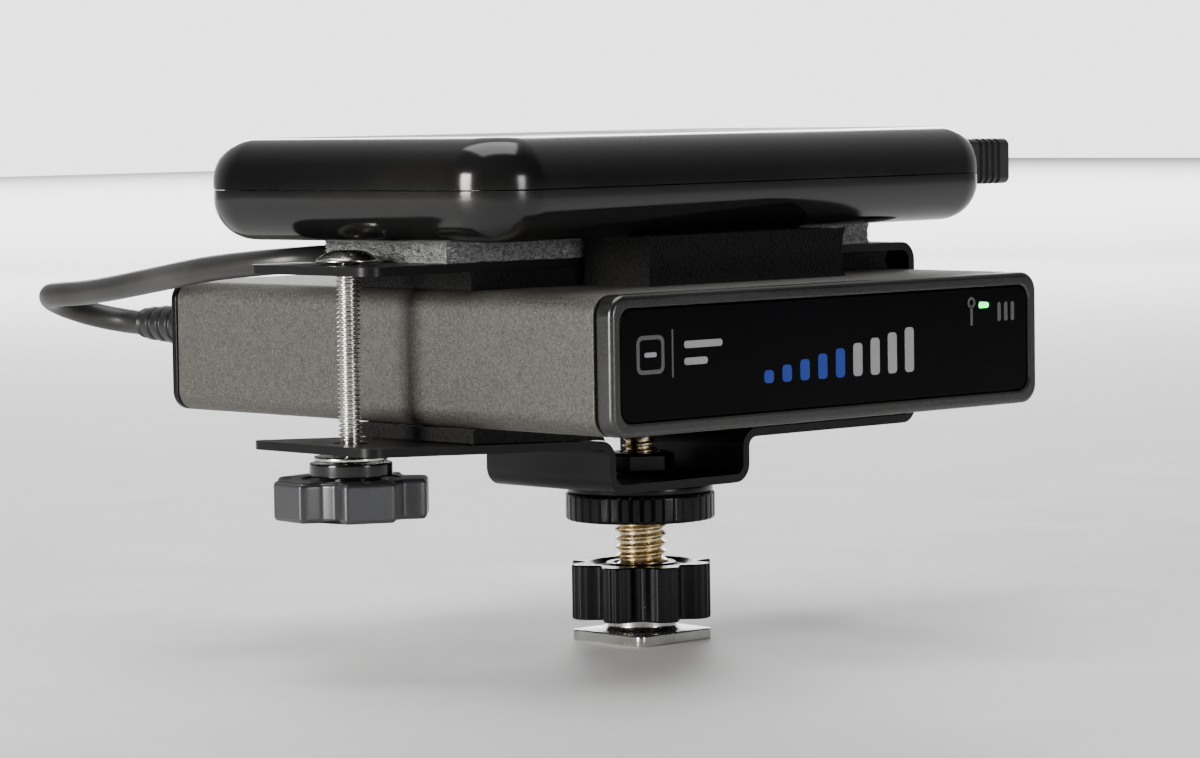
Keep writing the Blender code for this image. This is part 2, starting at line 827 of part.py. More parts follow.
def make_pack():
    pack_high = PACK_LOW + PACK_HEIGHT
    shells = [
        pack_shell("pack_lower_shell", PACK_LOW, 1),
        pack_shell("pack_upper_shell", pack_high, -1),
    ]
    inner_low = PACK_LOW + PACK_WALL + GAP
    for number, start in ((1, -66.0), (2, -12.0)):
        pack_block(
            f"battery_cell_{number}",
            (start, -27.0, inner_low),
            (start + 52.0, 27.0, inner_low + 11.5),
            cell_silver(),
            corner=3.0,
        )
    board_low = PORT_Z - 6.2
    pack_block(
        "charge_board", (43.0, -28.5, board_low), (PACK_END - 5.0, 26.0, board_low + 1.6), board_green()
    )
    rest = board_low + 1.6 + GAP
    socket = pack_block(
        "usb_out_socket",
        (PACK_END - 17.0, USB_ACROSS - 7.2, rest),
        (PACK_END - 1.0, USB_ACROSS + 7.2, rest + 7.4),
        socket_metal(),
        corner=0.5,
        axis="X",
    )
    middle_z = rest + 3.7
    mouth = rounded_rectangle(13.0, 6.0, 0.5, steps=2, centre=(USB_ACROSS, middle_z))
    cut(socket, pack_place(prism("usb_mouth", mouth, PACK_END - 15.0, PACK_END + 3, None, axis="X")))
    charge = pack_block(
        "charge_socket",
        (PACK_END - 7.0, 0.0, rest),
        (PACK_END - 0.2, 8.0, rest + 3.4),
        socket_metal(),
        corner=0.5,
        axis="X",
    )
    slit = rounded_rectangle(6.6, 2.0, 0.5, steps=2, centre=(4.0, rest + 1.7))
    cut(charge, pack_place(prism("charge_mouth", slit, PACK_END - 5.5, PACK_END + 3, None, axis="X")))

    button_at = (17.0, PACK_SEAM)
    button = turned(
        "power_button",
        [(2.9, -4.0), (2.9, -2.6), (2.2, -2.6), (2.2, -0.4), (1.9, 0.0)],
        black_plastic(),
        count=28,
        axis="X",
    )
    button.matrix_world = (
        Matrix.Translation(Vector((PACK_X, PACK_Y, 0.0)) * MM)
        @ Matrix.Rotation(PACK_TURN, 4, "Z")
        @ Matrix.Translation(Vector((PACK_END, button_at[0], button_at[1])) * MM)
    )
    windows = [
        ("usb", rounded_rectangle(15.0, 8.0, 0.8, steps=2, centre=(USB_ACROSS, middle_z))),
        ("charge", rounded_rectangle(8.6, 4.0, 0.8, steps=2, centre=(4.0, rest + 1.7))),
        ("button", circle(2.2 + GAP, 28, button_at)),
    ]
    for name, outline in windows:
        for half, shell in zip(("lower", "upper"), shells):
            cutter = prism(f"{name}_window_{half}", outline, PACK_END - 6.0, PACK_END + 3, None, axis="X")
            cut(shell, pack_place(cutter))
    lamp_at = (50.0, 0.0)
    lamp_hole = rounded_rectangle(14.0, 2.4, 1.1, steps=4, centre=lamp_at)
    cut(shells[1], pack_place(prism("lamp_hole", lamp_hole, pack_high - 4, pack_high + 2, None)))
    lamp = rounded_rectangle(14.0 - 2 * GAP, 2.4 - 2 * GAP, 0.8, steps=4, centre=lamp_at)
    pack_place(prism("charge_window", lamp, pack_high - 2.0, pack_high - 0.1, black_plastic()))
    return middle_z


def make_pads():
    low = JAW_LOW + SHEET + GAP
    high = PACK_LOW - GAP
    block("grip_pad", (-59.5, -15.4, low), (44.0, 15.4, high), grey_felt(), corner=1.0)
    block(
        "foam_block",
        (-28.2, -32.0, BOX_TOP + GAP),
        (19.6, -STRIP_HALF - GAP, high),
        black_foam(),
        corner=0.8,
    )


# Lead and its plugs

def make_plugs(port_z):
    low_x = PACK_END + GAP
    plug = pack_block(
        "usb_plug",
        (low_x, USB_ACROSS - 8.0, port_z - 4.3),
        (PACK_END + 14.0, USB_ACROSS + 8.0, port_z + 4.3),
        black_plastic(),
        corner=1.2,
        axis="X",
    )
    tongue = pack_block(
        "usb_tongue",
        (PACK_END - 12.0, USB_ACROSS - 6.1, port_z - 2.6),
        (low_x + 1.0, USB_ACROSS + 6.1, port_z + 2.6),
        None,
        corner=0.3,
        axis="X",
    )
    tongue.hide_render = True
    tongue.display_type = "WIRE"
    joined = plug.modifiers.new("tongue", "BOOLEAN")
    joined.operation = "UNION"
    joined.solver = "EXACT"
    joined.object = tongue

    relief_start = DC_TAIL - 18.0
    turned(
        "dc_plug",
        [
            (2.3, BOX_REAR - 11.0),
            (2.75, BOX_REAR - 10.6),
            (2.75, BOX_REAR + 0.6),
            (4.6, BOX_REAR + 0.6),
            (5.0, BOX_REAR + 1.2),
            (5.0, relief_start - 2.0),
            (4.2, relief_start - GAP),
        ],
        black_plastic(),
        count=20,
        axis="Y",
        centre=(DC_X, DC_Z),
    )
    profile = [(4.0, relief_start)]
    ribs = 5
    for rib in range(ribs):
        share = rib / ribs
        start = relief_start + 1.0 + share * 16.0
        wide = 4.1 - 1.1 * share
        profile += [(wide, start), (wide, start + 1.9), (wide - 0.7, start + 2.1), (wide - 0.7, start + 3.0)]
    profile += [(2.9, DC_TAIL - 0.6), (2.7, DC_TAIL)]
    turned("dc_relief", profile, black_plastic(), count=16, axis="Y", centre=(DC_X, DC_Z))


def smooth_route(points, spacing):
    """Even points along a Catmull-Rom curve through the given points."""
    known = [Vector(point) for point in points]
    ends = [known[0] * 2 - known[1]] + known + [known[-1] * 2 - known[-2]]
    fine = []
    for before, start, end, after in zip(ends, ends[1:], ends[2:], ends[3:]):
        for step in range(20):
            t = step / 20
            fine.append(
                0.5 * (2 * start + (end - before) * t + (2 * before - 5 * start + 4 * end - after) * t * t
                       + (3 * start - before - 3 * end + after) * t ** 3)
            )
    fine.append(known[-1])
    lengths = [0.0]
    for near, far in zip(fine, fine[1:]):
        lengths.append(lengths[-1] + (far - near).length)
    count = round(lengths[-1] / spacing)
    even = []
    at = 0
    for i in range(count + 1):
        wanted = lengths[-1] * i / count
        while at < len(fine) - 2 and lengths[at + 1] < wanted:
            at += 1
        share = (wanted - lengths[at]) / (lengths[at + 1] - lengths[at])
        even.append(fine[at].lerp(fine[at + 1], share))
    return even


def make_lead():
    curve = bpy.data.curves.new("power_lead", "CURVE")
    curve.dimensions = "3D"
    curve.bevel_depth = LEAD_RADIUS * MM
    curve.bevel_resolution = 2
    curve.use_fill_caps = True
    route = smooth_route(LEAD_ROUTE, LEAD_SPACING)
    line = curve.splines.new("POLY")
    line.points.add(len(route) - 1)
    for knot, point in zip(line.points, route):
        knot.co = (*(point * MM), 1.0)
    curve.materials.append(lead_rubber())
    lead = bpy.data.objects.new("power_lead", curve)
    bpy.context.collection.objects.link(lead)


def main():
    clear_scene()
    make_stud()
    make_rings()
    make_bracket()
    make_liners()
    make_clamp()
    make_case()
    make_rear_panel()
    make_electronics()
    port_z = make_pack()
    make_pads()
    make_plugs(port_z)
    make_lead()


main()
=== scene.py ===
import random
from itertools import product
from math import ceil, copysign, cos, hypot, pi, radians, sin, tau

import bmesh
import bpy
from mathutils import Matrix, Vector


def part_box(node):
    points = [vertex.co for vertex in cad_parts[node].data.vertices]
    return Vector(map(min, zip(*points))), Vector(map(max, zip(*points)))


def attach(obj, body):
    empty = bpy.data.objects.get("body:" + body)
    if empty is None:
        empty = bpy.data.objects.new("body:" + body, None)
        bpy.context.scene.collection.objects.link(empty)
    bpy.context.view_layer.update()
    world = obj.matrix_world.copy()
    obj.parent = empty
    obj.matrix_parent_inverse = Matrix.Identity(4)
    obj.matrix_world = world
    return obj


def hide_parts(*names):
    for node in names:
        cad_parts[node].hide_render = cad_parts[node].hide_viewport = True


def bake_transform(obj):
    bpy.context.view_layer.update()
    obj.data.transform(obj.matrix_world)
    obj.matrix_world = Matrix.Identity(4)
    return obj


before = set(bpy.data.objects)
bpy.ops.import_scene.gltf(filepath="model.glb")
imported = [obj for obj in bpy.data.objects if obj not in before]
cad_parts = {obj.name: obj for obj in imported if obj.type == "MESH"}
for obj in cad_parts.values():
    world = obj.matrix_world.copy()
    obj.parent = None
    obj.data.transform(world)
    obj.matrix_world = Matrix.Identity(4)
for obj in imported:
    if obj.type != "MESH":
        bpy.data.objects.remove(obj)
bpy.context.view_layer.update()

# The looks of a camera-top wireless video unit in its clamp bracket, with a slab battery pack on top.
# Frame: +Z up, +X along the front panel from left to right, +Y from the front panel to the rear.
# Shapes are written in millimetres in the part's own frame and turned into metres by MM.

MM = 0.001
SHEET = 1.5                    # thickness of the bracket's steel strip
STRIP_HALF = 16.0
STRIP_LEFT = -77.5
WALL_X = 56.5                  # outer face of the bracket's right wall
HAT_LEFT = -22.8               # the drop in the lower arm round the stud's nut
HAT_RIGHT = 12.0
HAT_FLOOR = 28.7
ARM_LOW = 36.7                 # underside of the lower arm, right of the drop
EAR_RISE = 2.2                 # how far the clamp has pulled up the lower arm's left end
JAW_LOW = 68.9                 # underside of the upper arm
BEND = 2.6                     # bend radius on the sheet's centre line
BOLT_AT = (-68.2, 0.0)
BOLT_RADIUS = 2.08             # an 8-32 thread
BOLT_PITCH = 0.794
BOLT_BORE = 3.1
STUD_RADIUS = 4.7              # a 3/8-16 thread
STUD_PITCH = 1.5875
TIP_RADIUS = 3.1               # the stud's thinner upper end
TIP_PITCH = 1.27
NUT_FLATS = 11.1
INSERT_RADIUS = 7.0            # the threaded inserts in the star wheel and the lock ring
WHEEL_BORE = 7.3
PANEL_Y = -50.6                # the glossy front panel's face
RESET_AT = (-29.0, 53.4)       # places on the rear panel, as (x, z)
POWER_AT = (-37.5, 56.4)
PACK_MIDDLE = (-0.5, 6.0)
PACK_TURN = radians(7.0)
PACK_LENGTH = 144.0
PACK_WIDTH = 72.0
PACK_CORNER = 11.0
PACK_EDGE = 7.4
PACK_WALL = 1.8
PACK_END = PACK_LENGTH / 2
CHARGE_LENS_AT = (50.0, 0.0)   # on the pack's top
KEY_ACROSS = 17.0              # places along the pack's right end
CHARGE_ACROSS = 4.0
USB_ACROSS = -21.0
PORT_Z = 84.8
SHARP = 32                     # degrees: a fold above this is drawn as an edge
LEAD_DIAMETER = 4.6
LEAD_ROUTE = [                 # from the plug at the pack to the plug in the box
    (80.4, 3.4, 84.8), (79.4, 11.6, 84.8), (77.6, 26.0, 84.3), (74.0, 40.0, 83.2),
    (65.5, 52.5, 81.4), (51.5, 58.4, 79.0), (32.0, 56.8, 75.6), (13.0, 50.0, 72.4),
    (-5.0, 38.8, 70.9), (-23.0, 28.0, 70.5), (-38.0, 21.6, 70.6), (-48.5, 20.8, 70.7),
    (-56.0, 25.0, 70.4), (-59.6, 34.0, 69.7), (-60.2, 48.0, 68.4), (-59.4, 64.0, 66.2),
    (-58.4, 78.0, 64.3), (-56.9, 89.5, 63.1), (-56.2, 97.0, 62.6), (-54.9, 102.1, 62.2),
    (-51.5, 105.9, 61.1), (-46.8, 107.3, 59.5), (-42.1, 105.9, 57.9), (-38.6, 102.0, 56.8),
    (-37.5, 97.4, 56.4), (-37.5, 96.3, 56.4),
]


def mm(x, y, z):
    return Vector((x, y, z)) * MM


def span(node):
    """A CAD node's lowest and highest corners, in millimetres."""
    low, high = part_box(node)
    return low / MM, high / MM


def middle_of(node):
    """The middle of a CAD node seen from the front or the rear, as (x, z)."""
    low, high = span(node)
    return (low.x + high.x) / 2, (low.z + high.z) / 2


# Camera: the photograph's place and height, turned to the unit and closer in

def add_camera():
    data = bpy.data.cameras.new("camera")
    data.sensor_width = 36.0
    data.lens = 128.0
    data.clip_start = 0.05
    camera = bpy.data.objects.new("camera", data)
    bpy.context.collection.objects.link(camera)
    place = mm(-534.8, -551.5, 97.4)
    photo = (
        Matrix.Rotation(radians(-42.3), 3, "Z")
        @ Matrix.Rotation(radians(90.0 - 9.2), 3, "X")
        @ Matrix.Rotation(radians(-0.96), 3, "Z")
    )
    look = mm(-2.0, 8.0, 47.0) - place
    aim = (photo @ Vector((0.0, 0.0, -1.0))).rotation_difference(look).to_matrix()
    camera.matrix_world = Matrix.Translation(place) @ (aim @ photo).to_4x4()
    bpy.context.scene.camera = camera


add_camera()


# Materials: one Principled shader each, with procedural grain, tone and bump in object space

def set_range(node, start, end, low, high):
    for socket, number in zip(("From Min", "From Max", "To Min", "To Max"), (start, end, low, high)):
        node.inputs[socket].default_value = number


class Look:
    """A material under construction. Scales are in features per metre, depths in metres."""

    def __init__(self, name, colour, roughness, metallic=0.0, **sockets):
        self.name = name
        self.made = bpy.data.materials.new(name)
        self.made.use_nodes = True
        self.tree = self.made.node_tree
        self.shader = self.tree.nodes["Principled BSDF"]
        self.shader.inputs["Base Color"].default_value = (*colour, 1.0)
        self.shader.inputs["Roughness"].default_value = roughness
        self.shader.inputs["Metallic"].default_value = metallic
        for socket, value in sockets.items():
            self.shader.inputs[socket.replace("_", " ")].default_value = value
        self.place = self.add("ShaderNodeTexCoord").outputs["Object"]

    def add(self, kind):
        return self.tree.nodes.new(kind)

    def join(self, output, node, socket):
        self.tree.links.new(output, node.inputs[socket])

    def noise(self, scale, detail=3.0, stretch=None):
        node = self.add("ShaderNodeTexNoise")
        node.inputs["Scale"].default_value = scale
        node.inputs["Detail"].default_value = detail
        place = self.place
        if stretch:
            mapping = self.add("ShaderNodeMapping")
            mapping.inputs["Scale"].default_value = stretch
            self.join(place, mapping, "Vector")
            place = mapping.outputs["Vector"]
        self.join(place, node, "Vector")
        return node.outputs["Fac"]

    def cells(self, scale):
        node = self.add("ShaderNodeTexVoronoi")
        node.inputs["Scale"].default_value = scale
        self.join(self.place, node, "Vector")
        return node.outputs["Distance"]

    def spread(self, value, start, end, low=0.0, high=1.0):
        node = self.add("ShaderNodeMapRange")
        set_range(node, start, end, low, high)
        self.join(value, node, "Value")
        return node.outputs["Result"]

    def times(self, first, second):
        node = self.add("ShaderNodeMath")
        node.operation = "MULTIPLY"
        self.tree.links.new(first, node.inputs[0])
        self.tree.links.new(second, node.inputs[1])
        return node.outputs["Value"]

    def blend(self, share, first, second):
        node = self.add("ShaderNodeMix")
        node.data_type = "RGBA"
        for socket, colour in zip((6, 7), (first, second)):
            if isinstance(colour, tuple):
                node.inputs[socket].default_value = (*colour, 1.0)
            else:
                self.tree.links.new(colour, node.inputs[socket])
        self.join(share, node, "Factor")
        return node.outputs[2]

    def mix(self, value, start, end, first, second, most=1.0):
        """Goes from first towards second, by most at the end, while value goes from start to end."""
        return self.blend(self.spread(value, start, end, 0.0, most), first, second)

    def paint(self, output, socket="Base Color"):
        self.join(output, self.shader, socket)

    def roughen(self, value, start, end, low, high):
        self.paint(self.spread(value, start, end, low, high), "Roughness")

    def bump(self, height, depth, under=None):
        node = self.add("ShaderNodeBump")
        node.inputs["Distance"].default_value = depth
        self.join(height, node, "Height")
        if under:
            self.join(under, node, "Normal")
        self.paint(node.outputs["Normal"], "Normal")
        return node.outputs["Normal"]


def scaled(colour, by):
    return tuple(min(1.0, part * by) for part in colour)


def coated(name, colour, roughness, metallic=0.0, grain=1800.0, depth=0.00002, tone=0.2, smudge=0.08,
           **sockets):
    """The common kind: fine grain in bump and tone, broad handling marks in roughness."""
    look = Look(name, colour, roughness, metallic, **sockets)
    fine = look.noise(grain, 3.0)
    broad = look.noise(38.0, 4.0)
    inner = look.mix(fine, 0.3, 0.7, scaled(colour, 1 - tone), scaled(colour, 1 + tone))
    look.paint(look.mix(broad, 0.35, 0.75, inner, scaled(colour, 1 - 1.6 * tone), 0.35))
    look.roughen(broad, 0.3, 0.7, roughness - smudge, roughness + smudge)
    look.bump(fine, depth)
    return look


def satin_grey_metal():
    colour = (0.112, 0.108, 0.1)
    look = Look("satin_grey_metal", colour, 0.58, 0.7)
    speck = look.noise(2100.0, 2.0)
    spark = look.spread(look.noise(3600.0, 1.0), 0.56, 0.7)
    broad = look.noise(26.0, 3.0)
    base = look.mix(speck, 0.34, 0.66, scaled(colour, 0.72), scaled(colour, 1.22))
    base = look.blend(look.times(spark, look.spread(broad, 0.2, 0.8)), base, (0.3, 0.285, 0.25))
    look.paint(look.mix(broad, 0.4, 0.8, base, scaled(colour, 0.6), 0.22))
    look.roughen(speck, 0.3, 0.7, 0.5, 0.66)
    look.bump(speck, 0.00003)
    return look


def gloss_black():
    colour = (0.005, 0.005, 0.0055)
    look = Look("gloss_black", colour, 0.1, 0.0, Specular_IOR_Level=0.5)
    broad = look.noise(30.0, 5.0)
    dust = look.spread(look.cells(420.0), 0.0, 0.05, 1.0, 0.0)
    faint = look.times(dust, look.spread(look.noise(60.0), 0.5, 0.68))
    base = look.mix(broad, 0.3, 0.7, colour, (0.0085, 0.0082, 0.008))
    look.paint(look.blend(faint, base, (0.045, 0.044, 0.042)))
    look.roughen(broad, 0.35, 0.75, 0.07, 0.2)
    look.bump(look.noise(240.0, 2.0), 0.000012)
    return look


def panel_black():
    """The front panel's glossy acrylic, with faint smears and dust."""
    colour = (0.002, 0.002, 0.003)
    look = Look("panel_black", colour, 0.12, 0.0, Specular_IOR_Level=0.06)
    broad = look.noise(45.0, 5.0)
    dust = look.times(look.spread(look.cells(380.0), 0.0, 0.045, 1.0, 0.0),
                      look.spread(look.noise(80.0), 0.52, 0.66))
    look.paint(look.blend(dust, colour, (0.04, 0.04, 0.043)))
    look.roughen(broad, 0.35, 0.75, 0.08, 0.2)
    look.bump(look.noise(320.0, 2.0), 0.000006)
    return look


def edge_highlight_paint():
    """Painted highlight along an edge: light steel-coloured patches in the black paint."""
    colour = (0.01, 0.0095, 0.0095)
    look = Look("edge_highlight_paint", colour, 0.35, 0.5)
    highlight_patches = look.spread(look.noise(420.0, 5.0), 0.5, 0.62)
    highlight_runs = look.spread(look.noise(60.0, 2.0), 0.42, 0.6)
    share = look.times(highlight_patches, highlight_runs)
    # Lightens the patches to steel colour with some metallic: a painted highlight on the edges.
    look.paint(look.blend(share, colour, (0.46, 0.44, 0.41)))
    look.paint(look.spread(share, 0.0, 1.0, 0.1, 1.0), "Metallic")
    look.bump(look.noise(900.0, 2.0), 0.00001)
    return look


def bright_steel():
    look = Look("bright_steel", (0.7, 0.69, 0.66), 0.2, 1.0)
    lines = look.noise(900.0, 2.0, stretch=(1.0, 1.0, 9.0))
    broad = look.noise(140.0, 3.0)
    look.paint(look.mix(broad, 0.3, 0.7, (0.58, 0.57, 0.54), (0.78, 0.77, 0.74)))
    look.roughen(lines, 0.3, 0.7, 0.14, 0.3)
    look.bump(lines, 0.000008)
    return look


def yellow_zinc():
    look = Look("yellow_zinc", (0.66, 0.52, 0.28), 0.26, 1.0)
    broad = look.noise(170.0, 3.0)
    warm = look.mix(broad, 0.35, 0.65, (0.72, 0.57, 0.3), (0.56, 0.47, 0.36))
    look.paint(look.mix(look.noise(420.0, 4.0), 0.55, 0.75, warm, (0.3, 0.24, 0.15), 0.6))
    look.roughen(look.noise(1400.0), 0.3, 0.7, 0.18, 0.36)
    look.bump(look.noise(2600.0, 2.0), 0.000008)
    return look


def black_foam():
    look = Look("black_foam", (0.008, 0.008, 0.008), 0.95, 0.0, Sheen_Weight=0.05,
                Specular_IOR_Level=0.25)
    pores = look.cells(1500.0)
    fine = look.noise(4200.0, 2.0)
    look.paint(look.mix(pores, 0.1, 0.55, (0.003, 0.003, 0.003), (0.012, 0.0118, 0.0115)))
    first = look.bump(look.spread(pores, 0.0, 0.5), 0.00022)
    look.bump(fine, 0.00006, under=first)
    return look


def grey_hook_pad():
    look = Look("grey_hook_pad", (0.2, 0.21, 0.21), 0.9, 0.0, Sheen_Weight=0.5, Sheen_Roughness=0.5)
    fibre = look.noise(1500.0, 3.0, stretch=(1.0, 3.0, 1.0))
    clump = look.noise(260.0, 3.0)
    base = look.mix(fibre, 0.35, 0.65, (0.07, 0.075, 0.075), (0.36, 0.37, 0.365))
    look.paint(look.mix(clump, 0.4, 0.7, base, (0.13, 0.135, 0.135), 0.5))
    look.bump(fibre, 0.00025)
    return look


def pad_fibre():
    look = Look("pad_fibre", (0.4, 0.41, 0.4), 0.6, 0.0, Sheen_Weight=0.4)
    look.paint(look.mix(look.noise(700.0), 0.4, 0.6, (0.16, 0.17, 0.17), (0.5, 0.51, 0.5)))
    return look


def board_green():
    look = Look("board_green", (0.02, 0.12, 0.05), 0.4)
    tracks = look.spread(look.noise(420.0, 1.0, stretch=(1.0, 5.0, 1.0)), 0.5, 0.52)
    look.paint(look.blend(tracks, (0.012, 0.09, 0.035), (0.03, 0.19, 0.08)))
    look.bump(tracks, 0.00003)
    return look


def led_green():
    look = Look("led_green", (0.05, 0.8, 0.15), 0.3, 0.0, Emission_Strength=5.0)
    glow = look.mix(look.noise(900.0), 0.3, 0.7, (0.03, 0.8, 0.12), (0.1, 1.0, 0.25))
    look.paint(glow)
    look.paint(glow, "Emission Color")
    return look


def lead_rubber():
    look = Look("lead_rubber", (0.016, 0.016, 0.017), 0.42)
    fine = look.noise(2600.0, 3.0)
    broad = look.noise(55.0, 4.0)
    look.paint(look.mix(broad, 0.45, 0.75, (0.02, 0.0195, 0.019), (0.06, 0.057, 0.053)))
    look.roughen(broad, 0.3, 0.7, 0.34, 0.52)
    look.bump(fine, 0.00002)
    return look


def printed(name, colour):
    """Screen-printed ink on the glossy panel."""
    look = Look(name, colour, 0.45)
    look.paint(look.mix(look.noise(1600.0), 0.3, 0.7, scaled(colour, 0.86), colour))
    look.bump(look.noise(2400.0), 0.000006)
    return look


LOOKS = {look.name: look for look in (
    satin_grey_metal(),
    coated("bezel_metal", (0.085, 0.085, 0.083), 0.33, 0.9, grain=2600.0, depth=0.000015, tone=0.18),
    gloss_black(),
    panel_black(),
    coated("black_plastic", (0.017, 0.017, 0.018), 0.4, grain=1700.0, depth=0.00003),
    coated("knob_black", (0.022, 0.023, 0.028), 0.34, grain=1300.0, depth=0.000014,
           Specular_IOR_Level=0.85),
    coated("black_paint", (0.005, 0.0046, 0.005), 0.36, grain=900.0, depth=0.000018,
           Specular_IOR_Level=0.28),
    coated("black_anodised", (0.014, 0.014, 0.016), 0.28, 0.75, grain=2800.0, depth=0.00001),
    bright_steel(),
    yellow_zinc(),
    black_foam(),
    grey_hook_pad(),
    board_green(),
    coated("chip_black", (0.02, 0.02, 0.02), 0.55, grain=3000.0),
    coated("socket_metal", (0.58, 0.58, 0.57), 0.28, 1.0, grain=2400.0, depth=0.000008, tone=0.08),
    coated("cell_foil", (0.55, 0.55, 0.56), 0.35, 0.9, grain=700.0, depth=0.00004, tone=0.1),
    led_green(),
    lead_rubber(),
    edge_highlight_paint(),
    pad_fibre(),
    coated("gold_contact", (0.8, 0.6, 0.25), 0.2, 1.0, grain=3000.0, depth=0.000004),
    printed("ink_white", (0.42, 0.43, 0.45)),
    printed("ink_blue", (0.012, 0.05, 0.42)),
    printed("ink_grey", (0.12, 0.12, 0.125)),
    coated("floor", (0.8, 0.8, 0.8), 0.6, grain=160.0, depth=0.00001, tone=0.015, smudge=0.05),
)}

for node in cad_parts.values():
    for place in node.material_slots:
        place.material = LOOKS[place.material.name.split(".")[0]].made


# Outlines: closed lists of (u, v) points in millimetres, anticlockwise

def round_rect(width, height, radius, steps=10, centre=(0.0, 0.0)):
    points = []
    for sign_u, sign_v, start in [(1, 1, 0), (-1, 1, 90), (-1, -1, 180), (1, -1, 270)]:
        middle_u = centre[0] + sign_u * (width / 2 - radius)
        middle_v = centre[1] + sign_v * (height / 2 - radius)
        for step in range(steps + 1):
            angle = radians(start + 90 * step / steps)
            points.append((middle_u + radius * cos(angle), middle_v + radius * sin(angle)))
    return points


def circle(radius, count=96, centre=(0.0, 0.0)):
    turn = tau / count
    return [
        (centre[0] + radius * cos(i * turn), centre[1] + radius * sin(i * turn))
        for i in range(count)
    ]


def hexagon(flats, count=96):
    points = []
    for i in range(count):
        angle = i * tau / count
        off_middle = (angle + pi / 6) % (pi / 3) - pi / 6
        radius = flats / 2 / cos(off_middle)
        points.append((radius * cos(angle), radius * sin(angle)))
    return points


def inset(outline, by):
    """The outline moved inwards by a distance, point for point."""
    if by == 0:
        return list(outline)
    moved = []
    for i, point in enumerate(outline):
        before, after = Vector(outline[i - 1]), Vector(outline[(i + 1) % len(outline)])
        along = (after - before).normalized()
        moved.append((point[0] - along.y * by, point[1] + along.x * by))
    return moved


def rounded_ends(low, high, radius, steps=4):
    """Stations (along, inset) of a body whose two ends are rounded."""
    arc = []
    for step in range(steps + 1):
        angle = pi / 2 * step / steps
        arc.append((radius * (1 - sin(angle)), radius * (1 - cos(angle))))
    first = [(low + along, inward) for inward, along in arc]
    last = [(high - along, inward) for inward, along in reversed(arc)]
    return first + last


def softened(profile, radius, steps=3, closed=False):
    """The profile with its corners rounded, as far as the lengths beside them allow."""
    count = len(profile)
    out = []
    for i, point in enumerate(profile):
        if not closed and i in (0, count - 1):
            out.append(point)
            continue
        here = Vector(point)
        before = Vector(profile[i - 1]) - here
        after = Vector(profile[(i + 1) % count]) - here
        reach = min(radius, 0.45 * before.length, 0.45 * after.length)
        start = here + before.normalized() * reach
        end = here + after.normalized() * reach
        for step in range(steps + 1):
            t = step / steps
            out.append(tuple(start * (1 - t) ** 2 + here * 2 * t * (1 - t) + end * t * t))
    return out


# Meshes

def place(u, v, along, axis):
    return {"X": (along, u, v), "Y": (u, along, v), "Z": (u, v, along)}[axis]


def ring_at(outline, along, axis="Z"):
    """An outline's points at one station along an axis."""
    return [place(u, v, along, axis) for u, v in outline]


def rings_at(outline, stations, axis="Z"):
    """A ring for each (along, inset) station."""
    return [ring_at(inset(outline, inward), along, axis) for along, inward in stations]


def as_piece(name, mesh, look, smooth=SHARP):
    bmesh.ops.recalc_face_normals(mesh, faces=mesh.faces)
    data = bpy.data.meshes.new(name)
    mesh.to_mesh(data)
    mesh.free()
    data.shade_smooth()
    data.set_sharp_from_angle(angle=radians(smooth))
    piece = bpy.data.objects.new(name, data)
    bpy.context.collection.objects.link(piece)
    data.materials.append(LOOKS[look].made)
    return piece


def skin(name, loops, look, closed=False, smooth=SHARP):
    """Faces over rings of points in millimetres, with a cap at each end unless closed."""
    mesh = bmesh.new()
    rings = [[mesh.verts.new(Vector(point) * MM) for point in loop] for loop in loops]
    count = len(rings[0])
    pairs = list(zip(rings, rings[1:])) + ([(rings[-1], rings[0])] if closed else [])
    for low, high in pairs:
        for i in range(count):
            j = (i + 1) % count
            mesh.faces.new((low[i], low[j], high[j], high[i]))
    if not closed:
        mesh.faces.new(rings[0])
        mesh.faces.new(rings[-1])
    return as_piece(name, mesh, look, smooth=smooth)


def prism(name, outline, stations, look, axis="Z"):
    return steady(skin(name, rings_at(outline, stations, axis), look))


def sleeve(name, outer, inner, low, high, look, axis="Z", edge=0.3, inner_edge=0.2):
    """A tube between two outlines with the same number of points, its four rims rounded."""
    loops = rings_at(outer, rounded_ends(low, high, edge, 3), axis)
    for along, inward in reversed(rounded_ends(low, high, inner_edge, 2)):
        loops.append(ring_at(inset(inner, -inward), along, axis))
    return steady(skin(name, loops, look, closed=True))


def turned(name, profile, look, count=72, axis="Z", centre=(0.0, 0.0), edge=0.2, closed=False):
    """A turned body from (radius, along) points, its corners rounded by edge."""
    loops = [ring_at(circle(radius, count, centre), along, axis)
             for radius, along in softened(profile, edge, closed=closed)]
    return steady(skin(name, loops, look, closed=closed))


def bake(piece):
    """Puts the result of a piece's modifiers into its mesh."""
    bpy.context.view_layer.update()
    graph = bpy.context.evaluated_depsgraph_get()
    data = bpy.data.meshes.new_from_object(piece.evaluated_get(graph), depsgraph=graph)
    piece.modifiers.clear()
    piece.data = data
    return piece


def steady(piece):
    """Flat faces shade flat beside rounded edges."""
    piece.modifiers.new("steady", "WEIGHTED_NORMAL").keep_sharp = True
    return bake(piece)


def carve(piece, cutters, operation="DIFFERENCE"):
    for cutter in cutters:
        knife = piece.modifiers.new("carve", "BOOLEAN")
        knife.operation = operation
        knife.solver = "EXACT"
        knife.object = cutter
    bake(piece).data.set_sharp_from_angle(angle=radians(SHARP))
    for cutter in cutters:
        bpy.data.objects.remove(cutter)
    return piece


def cutter(outline, low, high, axis="Z"):
    return skin("cutter", [ring_at(outline, along, axis) for along in (low, high)], "black_plastic")


def on(piece, body, slot, *nodes):
    """Rides a piece on its body and hides the CAD nodes it stands for. The slot argument is not used.
    """
    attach(piece, body)
    if nodes:
        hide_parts(*nodes)
    return piece


